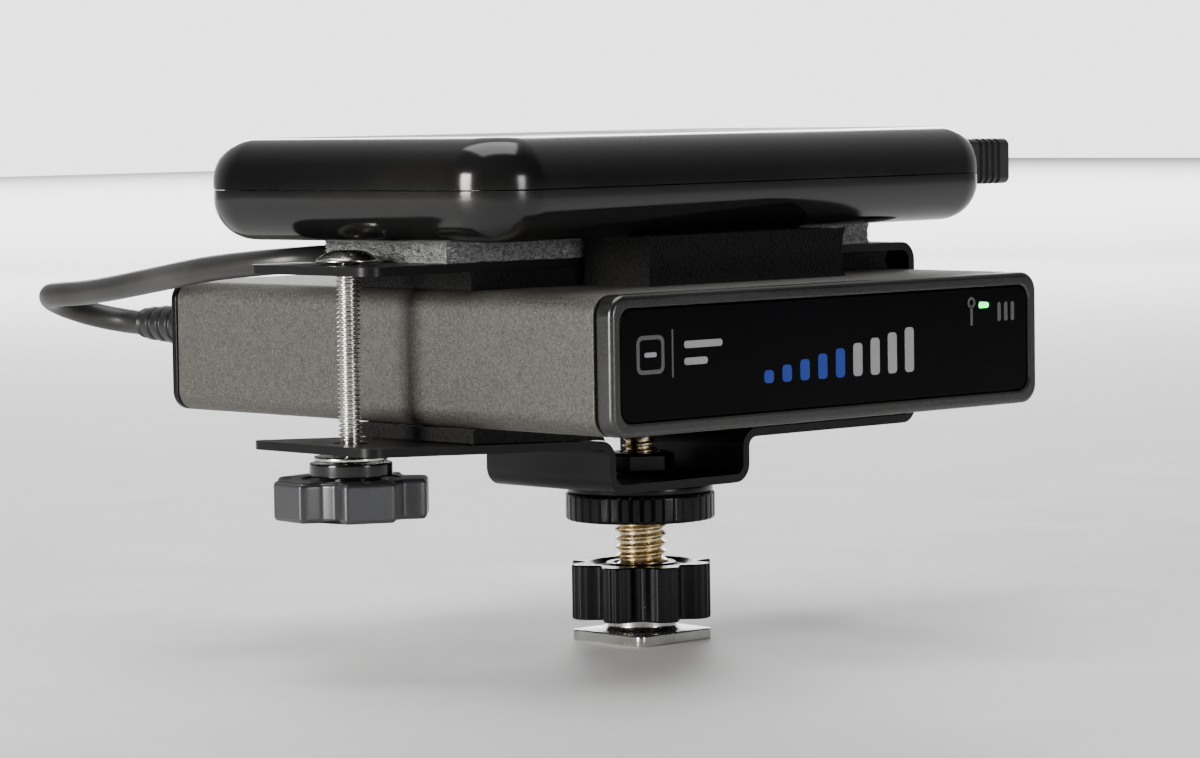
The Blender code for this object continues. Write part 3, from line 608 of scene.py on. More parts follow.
def threaded(name, radius, depth, pitch, low, high, centre, look, count=48, chamfer=0.6):
    """A rod with a real helical thread, cut square at both ends with a small lead-in."""
    shape = [(0.0, 0.0), (0.12, 0.0), (0.44, 1.0), (0.68, 1.0)]
    turns = ceil((high - low) / pitch) + 2
    mesh = bmesh.new()
    columns = []
    for i in range(turns * count + 1):
        angle = tau * i / count
        column = []
        for share, sunk in shape:
            along = low + pitch * (i / count + share - 1.0)
            here = radius - depth * sunk
            lead_in = min(along - low, high - along)
            if lead_in < chamfer:
                here = min(here, radius - (chamfer - max(lead_in, 0.0)))
            at = mm(centre[0] + here * cos(angle), centre[1] + here * sin(angle), along)
            column.append(mesh.verts.new(at))
        columns.append(column)
    last = len(shape) - 1
    for i in range(turns * count):
        for j in range(last):
            mesh.faces.new((columns[i][j], columns[i + 1][j], columns[i + 1][j + 1], columns[i][j + 1]))
        if i + count + 1 <= turns * count:
            above, above_next = columns[i + count][0], columns[i + count + 1][0]
            mesh.faces.new((columns[i][last], columns[i + 1][last], above_next, above))
    for height, up in ((low, -1), (high, 1)):
        bmesh.ops.bisect_plane(
            mesh, geom=mesh.verts[:] + mesh.edges[:] + mesh.faces[:], plane_co=mm(0, 0, height),
            plane_no=(0, 0, up), clear_outer=True,
        )
    bmesh.ops.remove_doubles(mesh, verts=mesh.verts, dist=0.00001 * MM)
    open_edges = [edge for edge in mesh.edges if edge.is_boundary]
    bmesh.ops.holes_fill(mesh, edges=open_edges)
    return as_piece(name, mesh, look, smooth=28)


# Lead: one smooth line through the route's points

def smooth_route(points, spacing):
    """Even points along a Catmull-Rom curve through the given points."""
    known = [Vector(point) for point in points]
    ends = [known[0] * 2 - known[1]] + known + [known[-1] * 2 - known[-2]]
    fine = []
    for before, start, end, after in zip(ends, ends[1:], ends[2:], ends[3:]):
        for step in range(20):
            t = step / 20
            fine.append(
                0.5 * (2 * start + (end - before) * t
                       + (2 * before - 5 * start + 4 * end - after) * t * t
                       + (3 * start - before - 3 * end + after) * t ** 3)
            )
    fine.append(known[-1])
    lengths = [0.0]
    for near, far in zip(fine, fine[1:]):
        lengths.append(lengths[-1] + (far - near).length)
    count = round(lengths[-1] / spacing)
    even = []
    at = 0
    for i in range(count + 1):
        wanted = lengths[-1] * i / count
        while at < len(fine) - 2 and lengths[at + 1] < wanted:
            at += 1
        share = (wanted - lengths[at]) / (lengths[at + 1] - lengths[at])
        even.append(fine[at].lerp(fine[at + 1], share))
    return even, lengths[-1]


def tube_rings(line, radius, sides):
    """Rings square to a line, carried along it without twist."""
    rings = []
    side = Vector((0.0, 0.0, 1.0))
    for i, point in enumerate(line):
        along = (line[min(i + 1, len(line) - 1)] - line[max(i - 1, 0)]).normalized()
        side = (side - along * side.dot(along)).normalized()
        other = along.cross(side)
        ring = []
        for step in range(sides):
            angle = tau * step / sides
            ring.append(point + side * radius * cos(angle) + other * radius * sin(angle))
        rings.append(ring)
    return rings


def make_lead(*ends):
    line, length = smooth_route(LEAD_ROUTE, 1.6)
    lead = skin("power_lead_sheath", tube_rings(line, LEAD_DIAMETER / 2, 24), "lead_rubber")
    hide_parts("power_lead")
    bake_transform(lead)


# Bracket strip: one sheet from the lower arm's left end round to the upper arm's

def strip_line(path):
    """The sheet's centre line with rounded bends and a point at least every 4 mm."""
    line = [Vector(path[0])]
    for before, corner, after in zip(path, path[1:], path[2:]):
        corner = Vector(corner)
        into = (Vector(before) - corner).normalized() * BEND
        out = (Vector(after) - corner).normalized() * BEND
        for step in range(9):
            turn = step / 8 * pi / 2
            line.append(corner + into * (1 - sin(turn)) + out * (1 - cos(turn)))
    line.append(Vector(path[-1]))
    even = [line[0]]
    for near, far in zip(line, line[1:]):
        parts = max(1, round((far - near).length / 4.0))
        even += [near.lerp(far, part / parts) for part in range(1, parts + 1)]
    return even


def make_strip():
    arm = ARM_LOW + SHEET / 2
    floor = HAT_FLOOR + SHEET / 2
    wall = WALL_X - SHEET / 2
    jaw = JAW_LOW + SHEET / 2
    hat_left = HAT_LEFT + SHEET / 2
    hat_right = HAT_RIGHT - SHEET / 2
    line = strip_line([
        (STRIP_LEFT, arm + EAR_RISE), (hat_left, arm), (hat_left, floor), (hat_right, floor),
        (hat_right, arm), (wall, arm), (wall, jaw), (STRIP_LEFT, jaw),
    ])
    upper, lower = [], []
    for i, point in enumerate(line):
        along = (line[min(i + 1, len(line) - 1)] - line[max(i - 1, 0)]).normalized()
        side = Vector((-along.y, along.x)) * SHEET / 2
        upper.append(tuple(point + side))
        lower.append(tuple(point - side))
    outline = upper + lower[::-1]
    across = (-STRIP_HALF, -STRIP_HALF / 2, 0.0, STRIP_HALF / 2, STRIP_HALF)
    strip = skin("bracket_strip", [ring_at(outline, y, "Y") for y in across], "black_paint")
    # Second material: the painted edge highlight, given to the bevel's faces below.
    strip.data.materials.append(LOOKS["edge_highlight_paint"].made)
    right = WALL_X + 20
    guide = cutter(
        round_rect(right - STRIP_LEFT, 2 * STRIP_HALF, 3.0, 8, ((right + STRIP_LEFT) / 2, 0.0)),
        10.0, 90.0,
    )
    carve(strip, [guide], "INTERSECT")
    carve(strip, [
        cutter(circle(3.4, 48), HAT_FLOOR - 2, HAT_FLOOR + 4),
        cutter(circle(BOLT_BORE, 48, BOLT_AT), ARM_LOW - 2, ARM_LOW + 6),
        cutter(circle(2.3, 48, BOLT_AT), JAW_LOW - 2, JAW_LOW + 4),
    ])
    # The bevel rounds the strip's edges and paints their faces with the painted highlight material.
    bevel = strip.modifiers.new("highlit_edge_bevel", "BEVEL")
    bevel.width = 0.28 * MM
    bevel.segments = 2
    bevel.limit_method = "ANGLE"
    bevel.angle_limit = radians(38)
    bevel.material = 1
    bevel.harden_normals = True
    bake(strip)
    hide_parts("lower_bracket", "upper_jaw")
    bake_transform(strip)


make_strip()


# Stud, star wheel, lock ring and nut

def lobed(radius, depth, lobes, count, sharpness, ribs=0, rib_depth=0.0):
    points = []
    for i in range(count):
        angle = i * tau / count
        wave = 0.5 - 0.5 * cos(lobes * angle)
        here = radius - depth * (1 - wave) ** sharpness
        if ribs:
            here -= rib_depth * (0.5 + 0.5 * cos(ribs * angle)) * wave ** 0.5
        points.append((here * cos(angle), here * sin(angle)))
    return points


def make_stud():
    low, high = span("shoe_foot")
    size = high.x - low.x
    foot = prism("foot_plate", round_rect(size, size, 1.4), rounded_ends(0.0, 2.0, 0.3),
                 "bright_steel")
    on(foot, "foot", "bright_steel", "shoe_foot")
    neck = turned("foot_neck", [(5.0, 1.9), (7.0, 1.9), (6.1, 2.7), (6.1, 4.0), (5.0, 4.0)],
                  "bright_steel", closed=True)
    on(neck, "foot", "bright_steel")
    stud = threaded("stud_thread", STUD_RADIUS, 0.86, STUD_PITCH, 1.9, 28.4, (0, 0), "yellow_zinc",
                    64, 0.5)
    on(stud, "foot", "yellow_zinc", "stud")
    tip = threaded("stud_tip", TIP_RADIUS, 0.68, TIP_PITCH, 28.3, 37.0, (0, 0), "yellow_zinc", 48, 0.8)
    on(tip, "foot", "yellow_zinc")

    low, high = span("stud_nut")
    corner = NUT_FLATS / 2 / cos(pi / 6)
    loops = []
    for along, reach in ((0.0, 5.2), (0.55, corner), (3.05, corner), (3.6, 5.2)):
        ring = []
        for u, v in hexagon(NUT_FLATS):
            from_axis = hypot(u, v)
            keep = min(from_axis, reach) / from_axis
            ring.append((u * keep, v * keep, low.z + along))
        loops.append(ring)
    for along, radius in ((3.6, 3.7), (3.2, 3.4), (0.4, 3.4), (0.0, 3.7)):
        loops.append(ring_at(circle(radius), low.z + along))
    nut = steady(skin("hex_nut", loops, "black_anodised", closed=True))
    on(nut, "foot", "black_anodised", "stud_nut")


def ribbed(rim, plain, stations, fade):
    """Rings of a ribbed rim, its ribs fading out where the stations move inwards."""
    loops = []
    for along, inward in stations:
        share = min(1.0, inward / fade)
        loops.append([
            (u + (plain_u - u) * share, v + (plain_v - v) * share, along)
            for (u, v), (plain_u, plain_v) in zip(inset(rim, inward), inset(plain, inward))
        ])
    return loops


def make_star():
    low, high = span("star_wheel")
    count = 384
    rim = lobed(13.2, 2.9, 8, count, 1.8, ribs=64, rib_depth=0.22)
    plain = lobed(13.2, 2.9, 8, count, 1.8)
    dish = circle(8.6, count)
    bore = circle(WHEEL_BORE, count)
    loops = ribbed(rim, plain, rounded_ends(low.z, high.z, 0.4, 4), 0.3)
    for outline, height in (
        (circle(9.4, count), high.z), (inset(dish, -0.3), high.z - 0.5), (dish, high.z - 0.8),
        (inset(bore, -0.2), high.z - 0.8), (bore, high.z - 1.0), (bore, low.z + 0.2),
        (inset(bore, -0.2), low.z),
    ):
        loops.append(ring_at(outline, height))
    wheel = steady(skin("star_grip", loops, "black_anodised", closed=True))
    on(wheel, "star", "black_anodised", "star_wheel")
    core = turned(
        "star_bush", [(5.0, low.z), (INSERT_RADIUS, low.z), (INSERT_RADIUS, high.z - 1.2),
                      (6.2, high.z), (5.0, high.z)],
        "black_anodised", closed=True,
    )
    on(core, "star_nut", "yellow_zinc", "star_insert")


def make_ring():
    low, high = span("lock_ring")
    count = 420
    radius = 13.5
    grooves = 42
    plain = circle(radius, count)
    rim = []
    for i, (u, v) in enumerate(plain):
        phase = (i * grooves / count) % 1.0
        sunk = 0.42 * max(0.0, 1 - abs(phase - 0.5) * 5.0) ** 0.6
        rim.append((u * (1 - sunk / radius), v * (1 - sunk / radius)))
    flange = high.z - 1.3
    loops = ribbed(rim, plain, rounded_ends(low.z, flange, 0.7, 5)[:-1], 0.45)
    for along, inward in rounded_ends(flange, high.z, 0.25, 3):
        loops.append(ring_at(inset(plain, 0.35 + inward), along))
    bore = circle(WHEEL_BORE, count)
    for outline, height in ((bore, high.z), (bore, low.z + 0.9), (circle(9.0, count), low.z + 0.9),
                            (circle(9.5, count), low.z)):
        loops.append(ring_at(outline, height))
    ring = steady(skin("ring_grip", loops, "black_anodised", closed=True))
    on(ring, "ring", "black_anodised", "lock_ring")
    core = turned(
        "ring_bush", [(5.0, low.z), (6.4, low.z), (INSERT_RADIUS, low.z + 0.7),
                      (INSERT_RADIUS, high.z), (5.0, high.z)],
        "black_anodised", closed=True,
    )
    on(core, "ring_nut", "yellow_zinc", "lock_insert")


# Clamp bolt, washer, collar and knob

def rosette(face, depth, lobes, start, count, flat=0.3, flank=0.24):
    """A knob's outline: flat-faced lobes with round flutes between them; start is one lobe's angle."""
    points = []
    half = pi / lobes
    for i in range(count):
        angle = i * tau / count
        off = abs((angle - start + half) % (2 * half) - half)
        share = min(max((off - flat) / flank, 0.0), 1.0)
        here = face / cos(min(off, flat)) - depth * share * share * (3 - 2 * share)
        points.append((here * cos(angle), here * sin(angle)))
    return points


def make_clamp():
    head = JAW_LOW + SHEET + 0.3
    bolt = threaded("bolt_thread", BOLT_RADIUS, 0.52, BOLT_PITCH, 29.2, head + 0.2, BOLT_AT,
                    "bright_steel", 32, 0.4)
    on(bolt, "jaw", "bright_steel", "clamp_bolt")
    crown = turned(
        "bolt_head",
        [(0.01, head + 0.9), (1.3, head + 0.9), (1.45, head + 1.95), (2.2, head + 2.1),
         (3.2, head + 1.85), (4.4, head + 1.2), (5.1, head + 0.75), (5.4, head + 0.4), (5.3, head),
         (0.01, head)],
        "bright_steel", centre=BOLT_AT, edge=0.35,
    )
    on(crown, "jaw", "bright_steel")

    low, high = span("bolt_washer")
    washer = sleeve("plain_washer", circle(6.3, 96, BOLT_AT), circle(BOLT_BORE, 96, BOLT_AT),
                    low.z, high.z, "bright_steel", edge=0.25)
    on(washer, "bracket", "bright_steel", "bolt_washer")

    low, high = span("knob_insert")
    knob_low, knob_high = span("clamp_knob")
    collar = turned(
        "knob_collar",
        [(BOLT_BORE, low.z), (5.0, low.z), (5.0, knob_high.z + 0.3), (7.1, knob_high.z + 0.3),
         (7.1, high.z), (BOLT_BORE, high.z)],
        "gloss_black", centre=BOLT_AT, edge=0.35, closed=True,
    )
    on(collar, "knob", "black_anodised", "knob_insert")

    count = 300
    outline = [(u + BOLT_AT[0], v) for u, v in rosette(12.95, 3.0, 5, radians(-116), count)]
    loops = rings_at(outline, rounded_ends(knob_low.z, knob_high.z, 0.85, 5))
    loops.append(ring_at(inset(circle(8.2, count, BOLT_AT), -0.4), knob_high.z))
    for radius, height in ((8.2, knob_high.z - 0.3), (5.3, knob_high.z - 0.3), (5.3, knob_low.z + 1.1),
                           (0.3, knob_low.z + 1.1)):
        loops.append(ring_at(circle(radius, count, BOLT_AT), height))
    grip = steady(skin("knob_grip", loops, "knob_black"))
    on(grip, "knob", "black_plastic", "clamp_knob")


make_stud()
make_star()
make_ring()
make_clamp()


# Box

def case_outline(rim=0.0, round_by=3.5):
    low, high = span("front_bezel")
    return round_rect(high.x - low.x - 2 * rim, high.z - low.z - 2 * rim, round_by, 12,
                             middle_of("front_bezel"))


def make_case():
    low, high = span("box_shell")
    shell = sleeve("case_shell", case_outline(), case_outline(rim=1.5, round_by=2.0), low.y, high.y,
                   "satin_grey_metal", axis="Y", edge=0.25)
    on(shell, "bracket", "satin_grey_metal", "box_shell")
    low, high = span("front_bezel")
    outer = case_outline()
    window = case_outline(rim=2.2, round_by=2.6)
    loops = rings_at(outer, rounded_ends(low.y, high.y, 0.9, 5)[:-1], "Y")
    for outline, depth in ((inset(outer, 0.2), high.y), (window, high.y), (window, low.y + 0.35),
                           (inset(window, -0.35), low.y)):
        loops.append(ring_at(outline, depth, "Y"))
    bezel = steady(skin("case_bezel", loops, "bezel_metal", closed=True))
    on(bezel, "bracket", "bezel_metal", "front_bezel")

    low, high = span("front_panel")
    led_low, led_high = span("status_led")
    led_at = middle_of("status_led")
    panel = prism("case_panel", case_outline(rim=2.5, round_by=2.3),
                  rounded_ends(low.y, high.y, 0.15, 2), "panel_black", axis="Y")
    carve(panel, [cutter(round_rect(3.2, 1.6, 0.7, 4, led_at), low.y - 2, high.y + 2, "Y")])
    on(steady(panel), "bracket", "gloss_black", "front_panel")
    lens = prism("led_lens", round_rect(2.6, 1.0, 0.45, 4, led_at),
                 rounded_ends(led_low.y, led_high.y, 0.2, 3), "led_green", axis="Y")
    on(lens, "bracket", "led_green", "status_led")


def mark(name, outline, ink, hole=None):
    """A thin printed mark on the front panel."""
    front, back = PANEL_Y - 0.05, PANEL_Y + 0.02
    if hole:
        piece = sleeve(name, outline, hole, front, back, ink, axis="Y", edge=0.01, inner_edge=0.01)
    else:
        piece = prism(name, outline, [(front, 0.0), (back, 0.0)], ink, axis="Y")
    return on(piece, "bracket", "gloss_black")


def make_marks():
    """Plain marks in the places of the printing: a frame, signal bars and a row of dashes."""
    frame_at = (-46.3, 55.6)
    mark("mark_frame", round_rect(6.4, 6.4, 1.3, 8, frame_at), "ink_grey",
         round_rect(5.0, 5.0, 0.7, 8, frame_at))
    mark("mark_frame_bar", round_rect(2.8, 0.8, 0.35, 6, frame_at), "ink_white")
    mark("mark_rule", round_rect(0.35, 8.0, 0.15, 3, (-41.2, 55.6)), "ink_grey")
    for i, width in enumerate((9.0, 5.5)):
        mark(f"mark_line_{i + 1}",
             round_rect(width, 1.2, 0.55, 6, (-38.5 + width / 2, 56.9 - 2.8 * i)), "ink_white")
    for i in range(9):
        ink = "ink_blue" if i < 5 else "ink_white"
        height = 2.2 + 0.7 * i
        mark(f"mark_bar_{i + 1}",
             round_rect(2.3, height, 0.7, 6, (-18.4 + 4.4 * i, 49.4 + height / 2)), ink)
    for i in range(3):
        mark(f"mark_dash_{i + 1}", round_rect(0.9, 3.4, 0.4, 6, (40.6 + 1.8 * i, 58.9)),
             "ink_grey")
    mark("mark_mast", round_rect(0.6, 3.4, 0.25, 6, (33.2, 58.4)), "ink_grey")
    top_at = (33.2, 60.8)
    mark("mark_mast_top", circle(1.0, 36, top_at), "ink_grey", circle(0.55, 36, top_at))


make_case()
make_marks()


# Rear of the box

def make_rear():
    low, high = span("rear_panel")
    panel = prism("case_rear", case_outline(), rounded_ends(low.y, high.y, 0.35, 3), "black_anodised",
                  axis="Y")
    openings = []
    for name, round_by in (("network_socket", 0.8), ("video_out_socket", 0.8), ("video_in_socket", 0.8),
                           ("service_socket", 0.8), ("audio_socket", 3.3)):
        a, b = span(name)
        size = (b.x - a.x + 0.6, b.z - a.z + 0.6)
        openings.append(round_rect(*size, min(round_by, size[1] / 2), 8, middle_of(name)))
    openings += [circle(5.4, 48, POWER_AT), circle(1.8, 36, RESET_AT)]
    openings += [circle(1.8, 36, middle_of(f"rear_screw_{number}")) for number in range(1, 5)]
    carve(panel, [cutter(opening, low.y - 2, high.y + 2, "Y") for opening in openings])
    on(steady(panel), "bracket", "black_anodised", "rear_panel")

    for number in range(1, 5):
        tip = span(f"rear_screw_{number}")[0].y
        at = middle_of(f"rear_screw_{number}")
        screw = turned(
            f"panel_screw_{number}",
            [(1.2, tip), (1.5, tip + 0.3), (1.5, high.y + 0.3), (2.6, high.y + 0.3),
             (2.6, high.y + 0.8), (2.0, high.y + 1.3), (0.6, high.y + 1.4)],
            "black_anodised", 48, "Y", at,
        )
        hexed = [(u + at[0], v + at[1]) for u, v in hexagon(1.9, 24)]
        carve(screw, [cutter(hexed, high.y + 0.7, high.y + 3.0, "Y")])
        on(steady(screw), "bracket", "black_anodised", f"rear_screw_{number}")
    button = turned("reset_cap", [(2.4, high.y - 4.4), (2.4, high.y - 2.8), (1.5, high.y - 2.8),
                                  (1.5, high.y - 0.3), (1.2, high.y), (0.2, high.y)],
                    "black_plastic", 48, "Y", RESET_AT)
    on(button, "reset", "black_plastic", "reset_button")


def make_contacts():
    """What shows inside the sockets' mouths."""
    high = span("network_socket")[1]
    middle_x = middle_of("network_socket")[0]
    for i in range(8):
        x = middle_x + (i - 3.5) * 1.02
        loops = []
        for along, drop in ((-12.6, 0.6), (-8.0, 1.0), (-4.0, 2.6), (-3.6, 2.7), (-3.2, 2.3)):
            loops.append([(x + u, high.y + along, high.z - 3.0 - drop + v)
                          for u, v in round_rect(0.36, 0.3, 0.1, 2)])
        on(skin(f"network_contact_{i + 1}", loops, "gold_contact"), "bracket", "socket_metal")
    for side, way in (("left", -1), ("right", 1)):
        lamp = prism(f"network_lamp_{side}",
                     round_rect(2.0, 1.2, 0.3, 4, (middle_x + way * 6.3, high.z - 1.3)),
                     rounded_ends(high.y - 0.6, high.y + 0.05, 0.1, 2), "ink_grey", axis="Y")
        on(lamp, "bracket", "socket_metal")
    for name, width, height, back in (("video_out", 10.4, 1.1, 9.0), ("video_in", 10.4, 1.1, 9.0),
                                      ("service", 4.4, 0.7, 4.2)):
        mouth = span(name + "_socket")[1].y
        tongue = prism(name + "_tongue",
                       round_rect(width, height, 0.2, 3, middle_of(name + "_socket")),
                       rounded_ends(mouth - back, mouth - 1.2, 0.15, 2), "black_plastic", axis="Y")
        on(tongue, "bracket", "black_plastic")
    mouth = span("audio_socket")[1].y
    nut = turned("audio_nut", [(1.9, mouth - 0.5), (3.0, mouth - 0.5), (3.0, mouth + 0.1),
                               (2.4, mouth + 0.5), (1.9, mouth + 0.5)],
                 "socket_metal", 48, "Y", middle_of("audio_socket"), 0.1, closed=True)
    on(nut, "bracket", "socket_metal")


make_rear()
make_contacts()


# Battery pack and its plug, modelled straight and turned about Z

PACK_PLACE = Matrix.Translation(mm(*PACK_MIDDLE, 0.0)) @ Matrix.Rotation(PACK_TURN, 4, "Z")


def pack_placed(piece):
    piece.data.transform(PACK_PLACE)
    return piece


def pack_ring(inward, height):
    return ring_at(round_rect(PACK_LENGTH - 2 * inward, PACK_WIDTH - 2 * inward,
                                     PACK_CORNER - inward, 14), height)


def pack_shell(name, outer_face, seam, way):
    """Half of the casing: a tray with rounded edges, its lip broken at the seam."""
    rim = seam - way * 0.06
    steps = 12
    loops = [pack_ring(PACK_EDGE + 3.0, outer_face)]
    for step in range(steps + 1):
        angle = radians(90 * step / steps)
        loops.append(pack_ring(PACK_EDGE * (1 - sin(angle)),
                               outer_face + way * PACK_EDGE * (1 - cos(angle))))
    loops.append(pack_ring(0.0, rim - way * 0.08))
    loops.append(pack_ring(0.08, rim))
    loops.append(pack_ring(PACK_WALL, rim))
    inner_edge = PACK_EDGE - PACK_WALL
    for step in range(steps, -1, -3):
        angle = radians(90 * step / steps)
        loops.append(pack_ring(PACK_WALL + inner_edge * (1 - sin(angle)),
                               outer_face + way * (PACK_WALL + inner_edge * (1 - cos(angle)))))
    return skin(name, loops, "gloss_black", smooth=40)


def make_pack():
    low, high = span("pack_lower_shell")
    top_low, top_high = span("pack_upper_shell")
    seam = (high.z + top_low.z) / 2
    shells = [pack_shell("pack_case_lower", low.z, seam, 1),
              pack_shell("pack_case_upper", top_high.z, seam, -1)]
    windows = [
        round_rect(15.0, 8.0, 0.8, 6, (USB_ACROSS, PORT_Z)),
        round_rect(8.6, 4.0, 1.9, 8, (CHARGE_ACROSS, PORT_Z - 2.0)),
        circle(2.5, 48, (KEY_ACROSS, seam)),
    ]
    for shell in shells:
        carve(shell, [cutter(window, PACK_END - 6.0, PACK_END + 3.0, "X") for window in windows])
    slot = round_rect(14.0, 2.4, 1.1, 8, CHARGE_LENS_AT)
    carve(shells[1], [cutter(slot, top_high.z - 4, top_high.z + 2)])
    for shell, node in zip(shells, ("pack_lower_shell", "pack_upper_shell")):
        on(pack_placed(steady(shell)), "jaw", "gloss_black", node)
    window = prism("charge_lens", round_rect(13.4, 1.8, 0.8, 8, CHARGE_LENS_AT),
                   rounded_ends(top_high.z - 2.0, top_high.z - 0.1, 0.2, 3), "black_plastic")
    on(pack_placed(window), "jaw", "black_plastic", "charge_window")
    button = turned("power_key", [(2.9, PACK_END - 4.0), (2.9, PACK_END - 2.6), (2.2, PACK_END - 2.6),
                                  (2.2, PACK_END - 0.4), (1.9, PACK_END), (0.2, PACK_END - 0.1)],
                    "black_plastic", 48, "X", (KEY_ACROSS, seam))
    on(pack_placed(button), "pack_key", "black_plastic", "power_button")


def make_plugs():
    outline = round_rect(16.0, 8.6, 1.3, 8, (USB_ACROSS, PORT_Z))
    stations = rounded_ends(PACK_END + 0.3, PACK_END + 14.0, 0.9, 4)
    ribs = []
    for start in (3.2, 5.2, 7.2, 9.2):
        ribs += [(PACK_END + start + along, sunk)
                 for along, sunk in ((0.0, 0.0), (0.25, 0.4), (0.95, 0.4), (1.2, 0.0))]
    half = len(stations) // 2
    plug = prism("usb_overmould", outline, stations[:half] + ribs + stations[half:], "black_plastic",
                 axis="X")
    on(pack_placed(plug), "jaw", "black_plastic", "usb_plug")
    tongue = prism("usb_shell", round_rect(12.2, 5.2, 0.4, 3, (USB_ACROSS, PORT_Z)),
                   rounded_ends(PACK_END - 12.0, PACK_END + 1.0, 0.2, 2), "socket_metal", axis="X")
    on(pack_placed(tongue), "jaw", "socket_metal")
    profile = [(2.2, -9.3), (3.9, -9.3)]
    for rib in range(3):
        start = -8.4 + rib * 2.6
        wide = 3.7 - 0.3 * rib
        profile += [(wide, start), (wide, start + 1.5), (wide - 0.5, start + 1.7),
                    (wide - 0.5, start + 2.4)]
    profile += [(2.7, -0.4), (2.35, -0.3)]
    boot = turned("usb_relief", profile, "black_plastic", 48, "Y", (PACK_END + 8.0, PORT_Z), 0.2)
    on(pack_placed(boot), "jaw", "black_plastic")

    barrel = turned(
        "dc_barrel",
        [(2.3, 54.0), (2.75, 54.4), (2.75, 65.6), (4.6, 65.6), (5.0, 66.2), (5.0, 68.0), (4.7, 68.3),
         (4.7, 69.3), (5.0, 69.6), (5.0, 70.6), (4.7, 70.9), (4.7, 71.9), (5.0, 72.2), (5.0, 76.0),
         (4.2, 77.7)],
        "black_plastic", 64, "Y", POWER_AT, 0.25,
    )
    on(barrel, "bracket", "black_plastic", "dc_plug")
    profile = [(2.3, 77.9), (4.0, 78.0)]
    for rib in range(5):
        share = rib / 5
        start = 79.0 + share * 16.0
        wide = 4.1 - 1.1 * share
        profile += [(wide, start), (wide, start + 1.8), (wide - 0.7, start + 2.1),
                    (wide - 0.7, start + 2.9)]
    profile += [(2.95, 95.4), (2.7, 96.0), (2.35, 96.0)]
    relief = turned("dc_boot", profile, "black_plastic", 64, "Y", POWER_AT, 0.25)
    on(relief, "bracket", "black_plastic", "dc_relief")
    return plug, boot, barrel, relief


make_pack()
make_lead(*make_plugs())


# Foam and hook-and-loop pads

def arm_rise(x):
    """How far the lower arm's left end stands above its right part."""
    return EAR_RISE * (HAT_LEFT - x) / (HAT_LEFT - STRIP_LEFT)


def cushion(node, cell, swell, rough, look, seed, sharp=0.6, wedge=False):
    """A soft block between a CAD node's corners: a fine grid with bulging sides and an uneven skin.
    A wedge's underside follows the raised arm."""
    low, high = span(node)
    size = high - low
    counts = [max(2, round(length / cell)) for length in size]
    mesh = bmesh.new()
    verts = {}

    def vert(i, j, k):
        key = (i, j, k)
        if key not in verts:
            verts[key] = mesh.verts.new([low[n] + size[n] * key[n] / counts[n] for n in range(3)])
        return verts[key]

    for axis in range(3):
        first, second = [n for n in range(3) if n != axis]
        for side, a, b in product((0, counts[axis]), range(counts[first]), range(counts[second])):
            corners = []
            for step_a, step_b in ((0, 0), (1, 0), (1, 1), (0, 1)):
                key = [0, 0, 0]
                key[axis], key[first], key[second] = side, a + step_a, b + step_b
                corners.append(vert(*key))
            mesh.faces.new(corners)
    draw = random.Random(seed)
    middle = (low + high) / 2
    for point in mesh.verts:
        share = [(point.co[n] - middle[n]) / (size[n] / 2) for n in range(3)]
        inner = [min(1.0, (1 - abs(share[n])) * size[n] / 2 / sharp) for n in range(3)]
        for n in range(3):
            others = [inner[m] for m in range(3) if m != n]
            if abs(share[n]) > 0.999:
                pull = sharp * 0.3 * sum((1 - other) ** 2 for other in others)
                lift = swell * cos(share[2] * pi / 2) if n != 2 else 0.0
                point.co[n] += copysign(lift - pull - rough * draw.random(), share[n])
        if wedge:
            rise = arm_rise(point.co.x) - arm_rise(high.x)
            point.co.z += rise * (high.z - point.co.z) / size.z
    bmesh.ops.scale(mesh, vec=(MM, MM, MM), verts=mesh.verts)
    return as_piece(node + "_pad", mesh, look, smooth=60)


def fibres(name, node, count, reach, look, seed):
    """Short curled fibres standing out of a pad's four sides."""
    low, high = span(node)
    draw = random.Random(seed)
    mesh = bmesh.new()
    length_x, length_y = high.x - low.x, high.y - low.y
    for _ in range(count):
        at = draw.random() * 2 * (length_x + length_y)
        height = low.z + 0.1 + draw.random() * (high.z - low.z - 0.2)
        if at < length_x:
            root, out = Vector((low.x + at, low.y, height)), Vector((0, -1, 0))
        elif at < 2 * length_x:
            root, out = Vector((low.x + at - length_x, high.y, height)), Vector((0, 1, 0))
        elif at < 2 * length_x + length_y:
            root, out = Vector((low.x, low.y + at - 2 * length_x, height)), Vector((-1, 0, 0))
        else:
            root = Vector((high.x, low.y + at - 2 * length_x - length_y, height))
            out = Vector((1, 0, 0))
        lean = Vector([draw.uniform(-1, 1) for _ in range(3)])
        lean.z *= 0.5
        middle = root + out * reach * 0.5 + lean * reach * 0.35
        tip = middle + out * reach * 0.25 * draw.random() + lean * reach * 0.5
        for point in (middle, tip):
            point.z = min(max(point.z, low.z + 0.03), high.z - 0.03)
        root = root - out * 0.4
        up = Vector((0, 0, 1))
        side = out.cross(up)
        rings = []
        for point, thick in ((root, 0.07), (middle, 0.06), (tip, 0.03)):
            rings.append([
                mesh.verts.new((point + side * thick * cos(turn) + up * thick * sin(turn)) * MM)
                for turn in (0.0, tau / 3, 2 * tau / 3)
            ])
        for near, far in zip(rings, rings[1:]):
            for i in range(3):
                j = (i + 1) % 3
                mesh.faces.new((near[i], near[j], far[j], far[i]))
        mesh.faces.new(rings[0])
        mesh.faces.new(rings[-1])
    return as_piece(name, mesh, look)


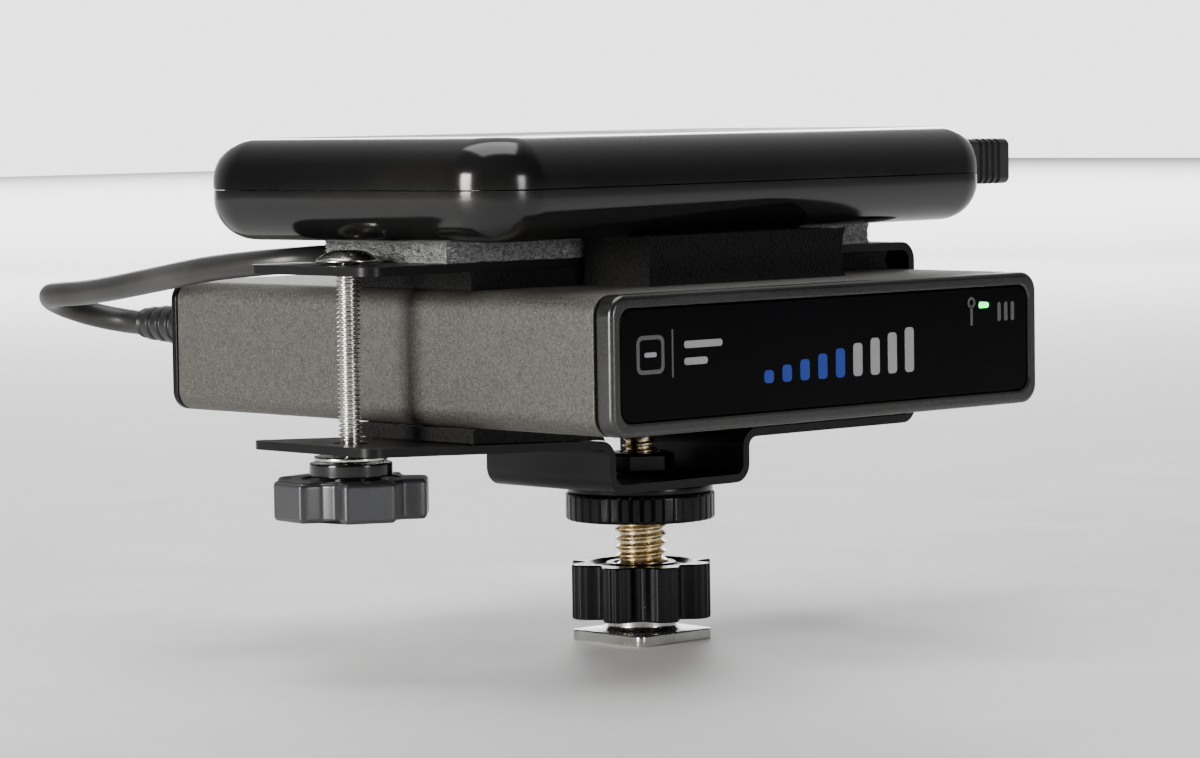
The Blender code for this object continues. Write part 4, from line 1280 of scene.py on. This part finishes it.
def make_pads():
    for seed, (node, body) in enumerate([
        ("lower_liner_left", "bracket"), ("lower_liner_right", "bracket"), ("side_liner", "bracket"),
        ("upper_liner", "jaw"),
    ]):
        pad = cushion(node, 1.3, 0.25, 0.06, "black_foam", seed, wedge=node == "lower_liner_left")
        on(pad, body, "black_foam", node)
    block = cushion("foam_block", 0.9, 0.2, 0.09, "black_foam", 11, sharp=0.9)
    on(block, "jaw", "black_foam", "foam_block")
    pad = cushion("grip_pad", 0.8, 0.1, 0.16, "grey_hook_pad", 12)
    on(pad, "jaw", "grey_hook_pad", "grip_pad")
    hair = fibres("grip_pad_fibres", "grip_pad", 5200, 0.9, "pad_fibre", 13)
    on(hair, "jaw", "grey_hook_pad")


make_pads()


# Floor and light: a pale floor, a bright backdrop, a dim room and five area lights

def add_floor():
    outline = round_rect(9000, 9000, 200, 6)
    skin("floor", [ring_at(outline, height) for height in (-4.0, -0.02)], "floor")


def add_light(name, at, aim, size, power, colour=(1.0, 1.0, 1.0), spread=180):
    data = bpy.data.lights.new(name, "AREA")
    data.shape = "RECTANGLE"
    data.size, data.size_y = size
    data.energy = power
    data.color = colour
    data.spread = radians(spread)
    lamp = bpy.data.objects.new(name, data)
    bpy.context.collection.objects.link(lamp)
    lamp.location = Vector(at)
    lamp.rotation_euler = (Vector(aim) - Vector(at)).to_track_quat("-Z", "Y").to_euler()


def add_world():
    """A bright backdrop for the camera, and a dim room for light and reflections, brightest behind the
    unit's right."""
    world = bpy.data.worlds.new("studio")
    world.use_nodes = True
    tree = world.node_tree
    back = tree.nodes["Background"]
    back.inputs["Color"].default_value = (1.0, 1.0, 1.0, 1.0)
    where = tree.nodes.new("ShaderNodeTexCoord")
    dot = tree.nodes.new("ShaderNodeVectorMath")
    dot.operation = "DOT_PRODUCT"
    dot.inputs[1].default_value = (0.66, 0.74, 0.12)
    tree.links.new(where.outputs["Generated"], dot.inputs[0])
    level = tree.nodes.new("ShaderNodeMapRange")
    set_range(level, 0.1, 0.95, 0.05, 0.75)
    tree.links.new(dot.outputs["Value"], level.inputs["Value"])
    seen = tree.nodes.new("ShaderNodeLightPath")
    both = tree.nodes.new("ShaderNodeMath")
    both.operation = "MULTIPLY_ADD"
    both.inputs[1].default_value = 2.2
    tree.links.new(seen.outputs["Is Camera Ray"], both.inputs[0])
    tree.links.new(level.outputs["Result"], both.inputs[2])
    tree.links.new(both.outputs["Value"], back.inputs["Strength"])
    bpy.context.scene.world = world


def add_lights():
    target = (0.0, 0.01, 0.055)
    add_light("left_softbox", (-1.4, 0.1, 0.28), target, (0.4, 0.5), 26.0, (1.0, 0.97, 0.93))
    add_light("front_softbox", (0.07, -1.5, 0.24), target, (0.28, 0.36), 5.0)
    add_light("top_softbox", (0.1, 0.2, 1.7), target, (1.4, 1.4), 24.0)
    add_light("rear_softbox", (1.15, 1.25, 0.52), target, (1.2, 0.4), 13.0)
    add_light("floor_wash", (2.3, 2.5, 1.5), (2.3, 2.5, 0.0), (3.2, 3.2), 170.0, spread=80)


add_floor()
add_world()
add_lights()
